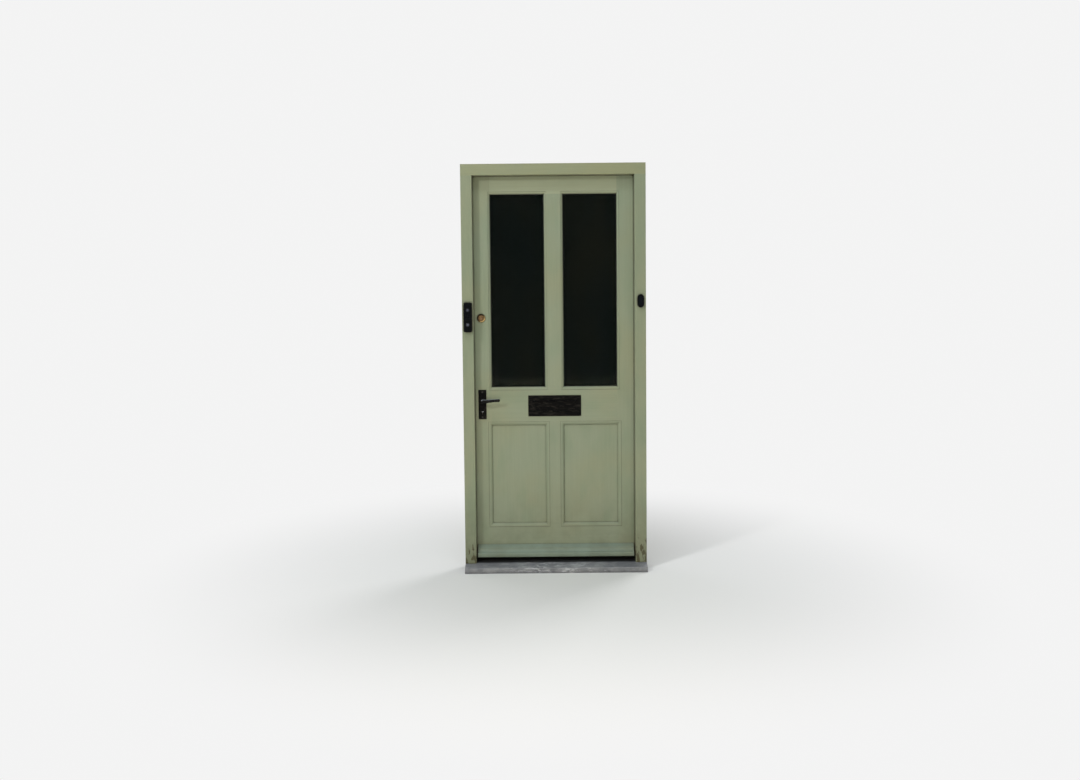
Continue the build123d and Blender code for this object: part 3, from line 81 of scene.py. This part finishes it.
# Reach of the grime with painted shade and of the painted shade line from a corner, depth of the brush
# marks, rounding of the edges
GRIME_AND_SHADE_REACH = 0.01
SHADE_LINE_REACH = 0.015
BRUSH_DEPTH = 0.00016
PAINT_ROUNDING = 0.0013

# Sill: distance from its middle where feet start to rub it and where they rub it most, and the depth where
# the painted shadow under the leaf and weatherboard starts and where it is full
TRODDEN_EDGE = 0.34
TRODDEN_MIDDLE = 0.02
BOARD_SHADOW_FROM = -0.002
BOARD_SHADOW_FULL = 0.016

# Radii of the painted glint at the centre of a disc of the entry unit, where it ends and where it is full
GLINT_EDGE = 0.0085
GLINT_CENTRE = 0.0035

# Rays for each point: one number for open space and one for rounded edges
SPACE_SAMPLES = 8
EDGE_SAMPLES = 4
# Cosine between a face's direction and its rounded one, on a flat face and on a sharp edge
FLAT_COSINE = 0.995
EDGE_COSINE = 0.86

# Places of the Mix node's colour sockets, whose names are shared by its other sockets
MIX_A = 6
MIX_B = 7
MIX_RESULT = 2


def srgb(red, green, blue):
    """Linear colour, with alpha, of a colour given as 0 to 255."""
    linear = [((v / 255 + 0.055) / 1.055) ** 2.4 for v in (red, green, blue)]
    return (*linear, 1.0)


SAGE = srgb(135, 144, 121)
SAGE_WARM = srgb(138, 143, 116)
SAGE_COOL = srgb(124, 139, 114)
FRAME_SAGE = srgb(131, 140, 115)
HEAD_SAGE = srgb(141, 143, 110)
# Top rail's paint made paler, as painted light against the shadow of the head
TOP_SAGE_LIT = srgb(150, 156, 129)
# Weatherboard's paint made cooler and darker, as painted shade with a painted sky reflection
WEATHERBOARD_SHADE_SAGE = srgb(125, 142, 128)
# Colour of grime, used also for painted shade in corners and near the ground
GRIME_AND_SHADE = srgb(66, 62, 38)
# Colour of the painted shade line in the deepest corners
PAINTED_SHADE_LINE = srgb(54, 44, 26)
BARE_WOOD = srgb(74, 72, 44)


class NodeTree:
    """Short ways to add and join nodes."""

    def __init__(self, tree):
        self.tree = tree

    def node(self, kind, inputs=None, **settings):
        """New node with its settings, and its inputs set or linked."""
        made = self.tree.nodes.new(kind)
        for key, value in settings.items():
            setattr(made, key, value)
        for key, value in (inputs or {}).items():
            self.put(made.inputs[key], value)
        return made

    def put(self, socket, value):
        """Link another node's output to a socket, or set the socket's own value."""
        if isinstance(value, bpy.types.NodeSocket):
            self.tree.links.new(value, socket)
        else:
            socket.default_value = value

    def math(self, operation, a, b=0.0, clamp=False):
        """Result of one operation on two numbers."""
        return self.node("ShaderNodeMath", {0: a, 1: b}, operation=operation, use_clamp=clamp).outputs[0]

    def times(self, a, b):
        """Product of two numbers."""
        return self.math("MULTIPLY", a, b)

    def plus(self, a, b, clamp=False):
        """Sum of two numbers, kept between 0 and 1 where clamp says so."""
        return self.math("ADD", a, b, clamp)

    def vector_math(self, operation, a, b=(0.0, 0.0, 0.0), output="Vector"):
        """Result of one operation on two vectors."""
        return self.node("ShaderNodeVectorMath", {0: a, 1: b}, operation=operation).outputs[output]

    def ramp(self, value, low, high, to_low=0.0, to_high=1.0):
        """Value between low and high, turned smoothly into a number between two others."""
        values = {"Value": value, "From Min": low, "From Max": high, "To Min": to_low, "To Max": to_high}
        return self.node("ShaderNodeMapRange", values, interpolation_type="SMOOTHSTEP").outputs["Result"]

    def mix(self, amount, a, b, blend_type="MIX"):
        """Colour a, turned into colour b by the amount."""
        values = {"Factor": amount, MIX_A: a, MIX_B: b}
        made = self.node("ShaderNodeMix", values, data_type="RGBA", blend_type=blend_type)
        return made.outputs[MIX_RESULT]

    def part(self, vector, letter):
        """One coordinate of a vector."""
        return self.node("ShaderNodeSeparateXYZ", {"Vector": vector}).outputs[letter]


class Shader(NodeTree):
    """A material's nodes, with one Principled surface, placed by the object's own coordinates."""

    def __init__(self, name):
        self.material = bpy.data.materials.new(name)
        self.material.use_nodes = True
        super().__init__(self.material.node_tree)
        self.surface = self.tree.nodes["Principled BSDF"]
        self.place = self.node("ShaderNodeTexCoord").outputs["Object"]

    def set(self, **values):
        """Sockets of the surface, with _ for a space in their names."""
        for key, value in values.items():
            self.put(self.surface.inputs[key.replace("_", " ")], value)

    def stretched(self, scale):
        """The place, scaled by one number, or by one for each axis."""
        if isinstance(scale, (int, float)):
            scale = (scale,) * 3
        return self.vector_math("MULTIPLY", self.place, scale)

    def noise(self, scale, detail=2.0, roughness=0.5, distortion=0.0):
        """Cloudy pattern. Scale is in waves for each metre, and roughness is the finer layers' share."""
        values = {"Vector": self.stretched(scale), "Scale": 1.0, "Detail": detail,
                  "Roughness": roughness, "Distortion": distortion}
        return self.node("ShaderNodeTexNoise", values).outputs["Fac"]

    def cells(self, scale):
        """Pattern of soft round dents, with scale of them for each metre."""
        values = {"Vector": self.stretched(scale), "Scale": 1.0}
        return self.node("ShaderNodeTexVoronoi", values, feature="SMOOTH_F1").outputs["Distance"]

    def axis(self, letter):
        """One coordinate of the place, in metres."""
        return self.part(self.place, letter)

    def facing(self, letter):
        """One coordinate of the surface's direction."""
        return self.part(self.node("ShaderNodeTexCoord").outputs["Normal"], letter)

    def away_from(self, point):
        """Distance between the place and a point."""
        between = self.vector_math("SUBTRACT", self.place, point)
        return self.vector_math("LENGTH", between, output="Value")

    def open_space(self, distance):
        """1 on open faces, and less in corners and grooves."""
        values = {"Distance": distance}
        return self.node("ShaderNodeAmbientOcclusion", values, samples=SPACE_SAMPLES).outputs["AO"]

    def rounded(self, radius):
        """The surface's direction, as if its edges were rounded."""
        return self.node("ShaderNodeBevel", {"Radius": radius}, samples=EDGE_SAMPLES).outputs["Normal"]

    def edges(self, radius):
        """1 on sharp edges and 0 on flat faces."""
        hard = self.node("ShaderNodeNewGeometry").outputs["Normal"]
        cosine = self.vector_math("DOT_PRODUCT", self.rounded(radius), hard, "Value")
        return self.ramp(cosine, FLAT_COSINE, EDGE_COSINE)

    def bump(self, height, depth, round_edges=0.0):
        """Relief of the surface, over edges that look rounded where a radius is given."""
        values = {"Height": height, "Distance": depth}
        if round_edges:
            values["Normal"] = self.rounded(round_edges)
        self.set(Normal=self.node("ShaderNodeBump", values).outputs["Normal"])


def along(letter, across_scale, along_scale):
    """Scales that stretch a texture along one axis, or along none."""
    return tuple(along_scale if axis == letter else across_scale for axis in "XYZ")


def brushed_tone(s, tone, mottle, streaks, blended):
    """Paint colour that drifts to a warmer and a cooler one, with faint streaks of the brush."""
    broad = s.noise(2.3, 3.0)
    colour = s.mix(s.ramp(broad, 0.38, 0.66, 0.0, blended), tone, SAGE_WARM)
    colour = s.mix(s.ramp(mottle, 0.42, 0.72, 0.0, 0.4 * blended), colour, SAGE_COOL)
    shade = s.ramp(streaks, 0.3, 0.7, 0.975, 1.02)
    grey = s.node("ShaderNodeCombineColor", {0: shade, 1: shade, 2: shade}).outputs[0]
    return s.mix(1.0, colour, grey, "MULTIPLY")


def grimed_and_shaded_corners(s, colour):
    """Grime with painted shade that thins away from each corner, and a painted shade line in the corner
    itself.
    """
    # Grime and painted shade: darker where there is little open space, flecked, with a painted shade line in
    # the corner
    corner = s.ramp(s.open_space(GRIME_AND_SHADE_REACH), 0.93, 0.38, 0.0, 0.92)
    speckle = s.noise(60.0, 4.0, 0.7)
    corner = s.times(corner, s.ramp(speckle, 0.25, 0.6, 0.55, 1.0))
    colour = s.mix(corner, colour, GRIME_AND_SHADE)
    return s.mix(s.ramp(s.open_space(SHADE_LINE_REACH), 0.68, 0.5, 0.0, 0.94), colour, PAINTED_SHADE_LINE)


def splashed_and_shaded(s, colour, share):
    """Grime that rain splashes up from the ground, strengthened as painted shade near the ground."""
    # Grime and painted shade: darker in patches towards the ground
    patches = s.ramp(s.noise(9.0, 4.0, 0.65), 0.3, 0.7, 0.4, 1.0)
    splash_and_shade = s.times(s.ramp(s.axis("Z"), SPLASH_AND_SHADE_TOP, SPLASH_AND_SHADE_FULL), patches)
    return s.mix(s.times(splash_and_shade, share), colour, GRIME_AND_SHADE)


def flaked_foot(s, colour, grain):
    """Colour with the wood bare in patches near the ground, and the patches themselves."""
    patches = s.noise(along(grain, 44.0, 19.0), 5.0, 0.66)
    low = s.ramp(s.axis("Z"), FLAKING_TOP, FLAKING_FULL)
    limit = s.math("SUBTRACT", FLAKING_LIMIT, s.times(low, FLAKING_GROWTH))
    flaked = s.math("GREATER_THAN", patches, limit)
    with_rim = s.math("GREATER_THAN", patches, s.math("SUBTRACT", limit, FLAKE_RIM))
    colour = s.mix(s.times(with_rim, 0.8), colour, GRIME_AND_SHADE)
    colour = s.mix(flaked, colour, s.mix(s.noise(300.0), BARE_WOOD, GRIME_AND_SHADE))
    return colour, flaked


def brushed_paint(name, tone, grain=None, worn_foot=False, blended=1.0):
    """Eggshell paint brushed along a timber member's grain, or with no direction on short trim.

    Blended says how far the tone drifts, and a worn foot has more grime and painted shade and has flaked.
    """
    s = Shader(name)
    mottle = s.noise(along(grain, 13.0, 5.0), 4.0, 0.55)
    streaks = s.noise(along(grain, 130.0, 3.5), 3.0, 0.6)
    colour = brushed_tone(s, tone, mottle, streaks, blended)
    colour = grimed_and_shaded_corners(s, colour)
    colour = splashed_and_shaded(s, colour, WORN_SPLASH_AND_SHADE_SHARE if worn_foot else SPLASH_AND_SHADE_SHARE)
    fibres = s.noise(along(grain, 700.0, 12.0), 3.0, 0.6)
    peel = s.noise(520.0, 1.0)
    relief = s.plus(s.times(fibres, 0.55), s.times(streaks, 0.8))
    relief = s.plus(relief, s.times(peel, 0.25))
    if worn_foot:
        colour, flaked = flaked_foot(s, colour, grain)
        relief = s.math("SUBTRACT", relief, s.times(flaked, 2.5))
    s.bump(relief, BRUSH_DEPTH, PAINT_ROUNDING)
    s.set(Base_Color=colour, Roughness=s.ramp(mottle, 0.3, 0.7, 0.43, 0.56))
    return s.material


def scuffed_sill(name):
    """Dark grey paint, rubbed pale where feet cross it and along its edges, with painted shade in its
    corners and a painted shadow under the leaf.
    """
    s = Shader(name)
    pale = srgb(196, 198, 203)
    dark = s.mix(s.ramp(s.noise(14.0, 4.0, 0.6), 0.35, 0.7), srgb(110, 112, 118), srgb(136, 138, 142))
    middle = s.ramp(s.math("ABSOLUTE", s.axis("X")), TRODDEN_EDGE, TRODDEN_MIDDLE)
    smears = s.noise((26.0, 90.0, 90.0), 5.0, 0.68, 0.6)
    scratches = s.noise((34.0, 420.0, 420.0), 3.0, 0.7, 0.4)
    wear_or_painted_highlight = s.times(s.ramp(smears, 0.47, 0.66), s.plus(middle, 0.12, clamp=True))
    fine = s.times(s.ramp(scratches, 0.58, 0.72), s.plus(middle, 0.3, clamp=True))
    worn = s.times(s.edges(0.0025), s.ramp(s.noise(34.0, 4.0), 0.42, 0.62))
    colour = s.mix(s.times(wear_or_painted_highlight, 0.88), dark, pale)
    colour = s.mix(s.times(fine, 0.6), colour, pale)
    colour = s.mix(s.times(worn, 0.6), colour, srgb(150, 150, 150))
    # Painted shade in the sill's corners and a painted shadow under the weatherboard, both near black
    sill_corner_shade = s.times(s.ramp(s.open_space(0.03), 0.8, 0.35), 0.75)
    board_shadow = s.ramp(s.axis("Y"), BOARD_SHADOW_FROM, BOARD_SHADOW_FULL, 0.0, 0.94)
    colour = s.mix(s.math("MAXIMUM", sill_corner_shade, board_shadow), colour, srgb(20, 20, 19))
    s.bump(s.plus(smears, s.times(scratches, 0.4)), 0.0003, 0.001)
    s.set(Base_Color=colour, Roughness=s.ramp(wear_or_painted_highlight, 0.0, 1.0, 0.42, 0.68))
    return s.material


def glass_with_painted_dark_room(name, clear_until):
    """Glass in front of a dark room: the street side pane is clear and the room side pane is tinted near
    black in patches, as painted shade of the room.
    """
    s = Shader(name)
    # Painted shade of the dark room: the room side pane is tinted near black, with brownish patches
    inner = s.math("GREATER_THAN", s.axis("Y"), clear_until)
    room_shade_patches = s.noise((5.0, 5.0, 1.6), 3.0)
    depth = s.mix(s.ramp(room_shade_patches, 0.35, 0.7), srgb(6, 11, 9), srgb(16, 17, 10))
    room_shade_tint = s.mix(inner, (0.93, 0.97, 0.95, 1.0), depth)
    dust = s.noise(70.0, 4.0, 0.7)
    s.bump(s.noise((1.3, 1.3, 0.9), 1.0), 0.0011)
    s.set(Base_Color=room_shade_tint, Transmission_Weight=1.0, IOR=1.07)
    s.set(Roughness=s.ramp(dust, 0.3, 0.8, 0.0, 0.05))
    return s.material


def hammered_iron(name, rough=0.4, dents=1.0, shine=0.03, smear_and_sheen_share=0.62, top_highlight=0.0):
    """Blackened iron with soft hammer marks, worn on its edges.

    Dents is the depth of the marks, the smear share that of grey smears which partly paint a sheen, and the
    top highlight how far the faces that look up are made paler, as a painted highlight.
    """
    s = Shader(name)
    marks = s.cells(185.0)
    grains = s.noise(900.0, 3.0, 0.6)
    patches = s.noise(42.0, 4.0, 0.6)
    smears = s.noise((20.0, 46.0, 78.0), 4.0, 0.62, 1.3)
    colour = s.mix(s.ramp(patches, 0.35, 0.7), srgb(6, 7, 9), srgb(15, 14, 14))
    # Grey smears, partly a painted sheen
    colour = s.mix(s.ramp(smears, 0.46, 0.72, 0.0, smear_and_sheen_share), colour, srgb(52, 49, 45))
    worn = s.times(s.edges(0.0008), s.ramp(patches, 0.3, 0.65, 0.1, 0.6))
    colour = s.mix(worn, colour, srgb(74, 72, 70))
    crevice = s.ramp(s.open_space(0.006), 0.8, 0.3, 0.0, 0.6)
    colour = s.mix(crevice, colour, srgb(13, 11, 9))
    # Painted highlight: faces that look up are made paler
    if top_highlight:
        wear_or_painted_highlight = s.times(s.ramp(s.facing("Z"), 0.45, 0.92), s.ramp(patches, 0.25, 0.6, 0.6, 1.0))
        colour = s.mix(s.times(wear_or_painted_highlight, top_highlight), colour, srgb(178, 183, 190))
    s.bump(s.plus(s.times(marks, dents), s.times(grains, 0.12)), 0.0007, 0.0007)
    s.set(Base_Color=colour, Roughness=s.ramp(patches, 0.3, 0.7, rough - 0.07, rough + 0.1))
    s.set(Specular_IOR_Level=shine)
    return s.material


def worn_brass(name, bright, tarnish, rough=0.28):
    """Brass that is bright where it is handled and browned in its corners."""
    s = Shader(name)
    patches = s.noise(150.0, 5.0, 0.62)
    turned = s.noise((900.0, 900.0, 60.0), 2.0)
    colour = s.mix(s.ramp(patches, 0.38, 0.66), bright, tarnish)
    crevice = s.ramp(s.open_space(0.005), 0.85, 0.35, 0.0, 0.85)
    colour = s.mix(crevice, colour, srgb(58, 40, 26))
    s.bump(s.plus(patches, s.times(turned, 0.4)), 0.00006, 0.0005)
    s.set(Base_Color=colour, Metallic=0.95, Roughness=s.ramp(patches, 0.3, 0.7, rough, rough + 0.2))
    return s.material


def ring_with_painted_light(name):
    """Cylinder ring with painted shade on the lock side and above, and a painted reflection that makes it
    bright opposite.
    """
    s = Shader(name)
    low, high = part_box("cylinder_ring")
    middle = (low + high) / 2
    # Painted reflection and shade: paler towards the lower right, darker towards the upper left
    slant = s.math("SUBTRACT", s.axis("X"), s.axis("Z"))
    slant = s.math("SUBTRACT", slant, middle.x - middle.z)
    patches = s.noise(170.0, 4.0, 0.62)
    slant = s.plus(slant, s.times(s.math("SUBTRACT", patches, 0.5), 0.05))
    wear_or_painted_highlight = s.ramp(slant, -0.006, 0.026)
    colour = s.mix(wear_or_painted_highlight, srgb(40, 33, 21), srgb(160, 137, 92))
    s.bump(patches, 0.00008, 0.0006)
    s.set(Base_Color=colour, Metallic=0.9, Roughness=s.ramp(wear_or_painted_highlight, 0.0, 1.0, 0.42, 0.26))
    return s.material


def disc_with_painted_glint(name, node, glint_colour, rough):
    """Dark disc of the entry unit that is paler at its centre, as a painted glint."""
    s = Shader(name)
    low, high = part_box(node)
    middle = (low + high) / 2
    # Painted glint: paler towards the disc's centre
    pale = s.ramp(s.away_from((middle.x, low.y, middle.z)), GLINT_EDGE, GLINT_CENTRE)
    colour = s.mix(pale, srgb(15, 17, 22), glint_colour)
    s.set(Base_Color=colour, Roughness=rough, Specular_IOR_Level=0.3)
    return s.material


def satin_metal(name, tone, rough=0.34, metallic=0.95):
    """Plated or ground metal with fine marks and dull corners."""
    s = Shader(name)
    marks = s.noise((90.0, 900.0, 900.0), 3.0, 0.6)
    patches = s.noise(60.0, 4.0)
    dull = (*(value * 0.55 for value in tone[:3]), 1.0)
    colour = s.mix(s.ramp(patches, 0.35, 0.75, 0.0, 0.6), tone, dull)
    colour = s.mix(s.ramp(s.open_space(0.005), 0.8, 0.3, 0.0, 0.7), colour, srgb(40, 36, 32))
    s.bump(marks, 0.00004, 0.0004)
    s.set(Base_Color=colour, Metallic=metallic, Roughness=s.ramp(marks, 0.3, 0.7, rough - 0.06, rough + 0.1))
    return s.material


def leaf_screw_metal(name, street_until):
    """Screws of the leaf: blackened like the handle on the street side, plated elsewhere."""
    s = Shader(name)
    inside = s.math("GREATER_THAN", s.axis("Y"), street_until)
    marks = s.noise(400.0, 3.0, 0.6)
    colour = s.mix(inside, s.mix(marks, srgb(14, 14, 15), srgb(34, 32, 30)), srgb(160, 154, 142))
    colour = s.mix(s.ramp(s.open_space(0.002), 0.75, 0.3, 0.0, 0.7), colour, srgb(22, 20, 18))
    s.bump(marks, 0.00005, 0.0004)
    s.set(Base_Color=colour, Metallic=s.ramp(inside, 0.0, 1.0, 0.25, 0.95))
    s.set(Roughness=s.ramp(marks, 0.3, 0.7, 0.3, 0.44))
    return s.material


def moulded_plastic(name, tone, rough, grain=0.00004):
    """Moulded plastic with a fine skin, worn edges and a little dust, mostly in its corners."""
    s = Shader(name)
    skin = s.noise(1400.0, 2.0)
    dust = s.ramp(s.noise(120.0, 5.0, 0.7), 0.5, 0.8, 0.0, 0.02)
    colour = s.mix(dust, tone, srgb(120, 122, 118))
    colour = s.mix(s.times(s.edges(0.0008), 0.15), colour, srgb(70, 74, 78))
    settled = s.ramp(s.open_space(0.0016), 0.7, 0.3, 0.0, 0.45)
    colour = s.mix(settled, colour, srgb(84, 86, 90))
    s.bump(skin, grain, 0.0006)
    s.set(Base_Color=colour, Roughness=s.ramp(skin, 0.3, 0.7, rough, rough + 0.12))
    s.set(Specular_IOR_Level=0.04)
    return s.material


def soft_rubber(name):
    """Matt black rubber, greyed by dust."""
    s = Shader(name)
    dust = s.ramp(s.noise(55.0, 5.0, 0.7), 0.45, 0.8, 0.0, 0.25)
    colour = s.mix(dust, srgb(14, 14, 14), srgb(60, 58, 54))
    s.bump(s.noise(800.0, 2.0), 0.00006, 0.0005)
    s.set(Base_Color=colour, Roughness=s.ramp(dust, 0.0, 0.25, 0.6, 0.85))
    return s.material


def paint_every_node():
    """Give each node of the model its material, and return the rubber for the glazing tape."""
    leaf_up = brushed_paint("sage_paint_upright", SAGE, "Z")
    leaf_level = brushed_paint("sage_paint_level", SAGE, "X")
    jamb = brushed_paint("sage_paint_jamb", FRAME_SAGE, "Z", worn_foot=True)
    head = brushed_paint("sage_paint_head", HEAD_SAGE, "X", blended=0.5)
    # Paler copy of the paint: painted light on the top rail
    top = brushed_paint("sage_paint_top_lit", TOP_SAGE_LIT, "X", blended=0.3)
    # Cooler, darker copy of the paint: painted shade and sky reflection on the weatherboard
    weatherboard_shade = brushed_paint("sage_paint_weatherboard_shade", WEATHERBOARD_SHADE_SAGE, "X", blended=0.3)
    trim = brushed_paint("sage_paint_trim", SAGE)
    iron = hammered_iron("hammered_black_iron")
    # Lever with a painted highlight on its upper faces
    grip = hammered_iron("black_iron_grip", rough=0.15, dents=0.12, shine=0.11, smear_and_sheen_share=0.0, top_highlight=0.7)
    steel = satin_metal("satin_steel", srgb(190, 188, 182))
    rubber = soft_rubber("black_rubber")
    low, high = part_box("panes_left")
    glass = glass_with_painted_dark_room("glass_painted_with_dark_room", (low.y + high.y) / 2)
    cylinder = worn_brass("worn_brass", srgb(132, 104, 74), srgb(74, 55, 37))
    ring = ring_with_painted_light("brass_ring_painted_light")
    latch = worn_brass("lacquered_brass", srgb(198, 170, 118), srgb(170, 140, 92), 0.24)
    case = moulded_plastic("satin_black_plastic", srgb(8, 11, 14), 0.26)
    button = moulded_plastic("gloss_black_plastic", srgb(15, 18, 23), 0.14)
    finishes = [
        (leaf_up, "lock_stile hinge_stile upper_muntin lower_muntin panel_left panel_right"),
        (leaf_level, "lock_rail bottom_rail"),
        (top, "top_rail"),
        (weatherboard_shade, "weatherboard"),
        (jamb, "jamb_left jamb_right"),
        (head, "frame_head"),
        (trim, "glazing_beads"),
        (scuffed_sill("scuffed_grey_paint"), "sill"),
        (glass, "panes_left panes_right"),
        (satin_metal("anodised_spacer", srgb(150, 150, 152), 0.5), "spacer_bars"),
        (rubber, "seal_left seal_right seal_head threshold_lip"),
        (moulded_plastic("black_powder_coat", srgb(12, 12, 13), 0.5, 0.00008), "threshold_bar"),
        (steel, "hinge_flaps_frame hinge_flaps_leaf hinge_pins frame_screws"),
        (leaf_screw_metal("leaf_screw_metal", low.y), "leaf_screws"),
        (satin_metal("lock_steel", srgb(178, 178, 174), 0.3),
         "lock_case lock_forend lock_keep follower spindle latch_bolt dead_bolt"),
        (iron, "outer_backplate inner_backplate letter_plate_outer letter_plate_inner "
               "letter_flap_outer letter_flap_inner letter_pins letter_bolts"),
        (grip, "outer_lever inner_lever"),
        (ring, "cylinder_ring"),
        (cylinder, "rim_cylinder cylinder_plug"),
        (latch, "night_latch_case night_latch_keep night_latch_knob night_latch_snib "
                "night_latch_plate night_latch_bolt"),
        (satin_metal("oiled_lock_levers", srgb(44, 38, 28), 0.5, 0.5), "lock_levers"),
        (case, "entry_case bell_case"),
        (button, "bell_button"),
        (disc_with_painted_glint("button_with_painted_glint", "entry_button", srgb(80, 84, 98), 0.2), "entry_button"),
        (disc_with_painted_glint("lens_with_painted_glint", "entry_lens", srgb(62, 66, 80), 0.06), "entry_lens"),
    ]
    for material, names in finishes:
        for name in names.split():
            slots = nodes[name].data.materials
            slots.clear()
            slots.append(material)
    return rubber


def add_mesh(name, points, faces, material):
    """Mesh object from points and faces."""
    mesh = bpy.data.meshes.new(name)
    mesh.from_pydata(points, [], faces)
    mesh.validate()
    mesh.materials.append(material)
    made = bpy.data.objects.new(name, mesh)
    bpy.context.scene.collection.objects.link(made)
    return made


def ring_strip(name, low, high, width, y0, y1, material):
    """Closed rectangular strip round a light, between two depths.

    Its points are the outer and then the inner corners at y0, and the same at y1.
    """
    corners = []
    for y in (y0, y1):
        for inset in (0.0, width):
            corners += [
                (low.x + inset, y, low.z + inset), (high.x - inset, y, low.z + inset),
                (high.x - inset, y, high.z - inset), (low.x + inset, y, high.z - inset),
            ]
    faces = []
    for k in range(4):
        n = (k + 1) % 4
        faces += [(k, n, 4 + n, 4 + k), (8 + k, 12 + k, 12 + n, 8 + n)]
        faces += [(k, 8 + k, 8 + n, n), (4 + k, 4 + n, 12 + n, 12 + k)]
    return add_mesh(name, corners, faces, material)


def add_glazing_tape(rubber):
    """Thin black tape that beds each sealed unit in its rebate."""
    border = Vector((HIDDEN_BORDER, 0, HIDDEN_BORDER))
    for side in ("left", "right"):
        low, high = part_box(f"panes_{side}")
        for place, y0, y1 in (("street", low.y - TAPE_T, low.y), ("room", high.y, high.y + TAPE_T)):
            name = f"glazing_tape_{place}_{side}"
            tape = ring_strip(name, low + border, high - border, TAPE_W, y0, y1, rubber)
            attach(tape, "leaf")


def add_floor():
    """Pale floor that fades into the background away from the door, and keeps the shadow."""
    mesh = bpy.data.meshes.new("studio_floor")
    maker = bmesh.new()
    bmesh.ops.create_circle(maker, cap_ends=True, radius=FLOOR_RADIUS, segments=FLOOR_SEGMENTS)
    maker.to_mesh(mesh)
    maker.free()
    floor = bpy.data.objects.new("studio_floor", mesh)
    bpy.context.scene.collection.objects.link(floor)
    s = Shader("pale_floor")
    path = s.node("ShaderNodeLightPath").outputs
    seen = s.plus(path["Is Camera Ray"], path["Is Glossy Ray"], clamp=True)
    fade = s.times(s.ramp(s.away_from((0.0, 0.0, 0.0)), FLOOR_CLEAR, FLOOR_FADE), seen)
    s.set(Base_Color=FLOOR_COLOUR, Roughness=0.9, Specular_IOR_Level=0.1)
    far = s.node("ShaderNodeEmission", {"Color": BACKGROUND, "Strength": 1.0})
    blend = s.node("ShaderNodeMixShader", {0: fade, 1: s.surface.outputs[0], 2: far.outputs[0]})
    s.put(s.tree.nodes["Material Output"].inputs["Surface"], blend.outputs[0])
    mesh.materials.append(s.material)


def set_world():
    """Soft light from all round, and a pale background to camera, mirror and glass rays."""
    world = bpy.data.worlds.new("studio")
    bpy.context.scene.world = world
    world.use_nodes = True
    world.node_tree.nodes.clear()
    w = NodeTree(world.node_tree)
    path = w.node("ShaderNodeLightPath").outputs
    reflected = w.plus(path["Is Glossy Ray"], path["Is Transmission Ray"])
    seen = w.plus(path["Is Camera Ray"], reflected, clamp=True)
    rise = w.part(w.node("ShaderNodeTexCoord").outputs["Generated"], "Z")
    sky = w.mix(w.ramp(rise, GROUND_ENDS, SKY_FULL), GROUND_LIGHT, SKY_LIGHT)
    light = w.node("ShaderNodeBackground", {"Color": sky, "Strength": 1.0})
    shown = w.node("ShaderNodeBackground", {"Color": BACKGROUND, "Strength": 1.0})
    blend = w.node("ShaderNodeMixShader", {0: seen, 1: light.outputs[0], 2: shown.outputs[0]})
    w.node("ShaderNodeOutputWorld", {"Surface": blend.outputs[0]})


def add_lamp(name, place, target, size, power, colour=(1.0, 1.0, 1.0)):
    """Soft box of a width and a height, turned to its target."""
    data = bpy.data.lights.new(name, "AREA")
    data.shape = "RECTANGLE"
    data.size, data.size_y = size
    data.energy = power
    data.color = colour
    lamp = bpy.data.objects.new(name, data)
    lamp.location = place
    lamp.rotation_euler = (Vector(target) - Vector(place)).to_track_quat("-Z", "Y").to_euler()
    bpy.context.scene.collection.objects.link(lamp)


def add_lamps():
    """Soft boxes: the strongest high on the left, a cool one above, and a warm one near the ground."""
    middle = (0.0, 0.05, 1.05)
    add_lamp("key", (-3.3, -4.0, 3.9), middle, (0.6, 0.6), 108.0, (1.0, 1.0, 0.98))
    add_lamp("fill", (3.4, -3.4, 1.8), middle, (2.4, 2.4), 4.0, (0.94, 0.98, 1.0))
    add_lamp("bounce", (0.0, -2.6, 0.42), (0.0, 0.0, 1.2), (3.6, 0.6), 18.0, (1.0, 0.88, 0.6))
    add_lamp("top", (-0.4, -1.5, 4.3), (0.0, 0.0, 0.6), (1.6, 0.5), 30.0, (0.84, 0.94, 1.0))
    add_lamp("back_key", (2.6, 3.4, 3.4), middle, (2.0, 2.0), 92.0)
    add_lamp("back_fill", (-3.0, 3.2, 1.5), middle, (2.4, 2.4), 30.0)


def add_camera():
    """Camera where the photograph was taken, looking at the street side."""
    data = bpy.data.cameras.new("camera")
    data.sensor_width = SENSOR
    data.lens = LENS
    data.shift_y = SHIFT_Y
    camera = bpy.data.objects.new("camera", data)
    camera.location = (EYE_X, -EYE_DISTANCE, EYE_HEIGHT)
    camera.rotation_euler = (math.radians(90) - PITCH, ROLL, 0)
    bpy.context.scene.collection.objects.link(camera)
    bpy.context.scene.camera = camera


black_rubber = paint_every_node()
add_glazing_tape(black_rubber)
add_floor()
set_world()
add_lamps()
add_camera()
bpy.context.scene.view_settings.view_transform = "Standard"
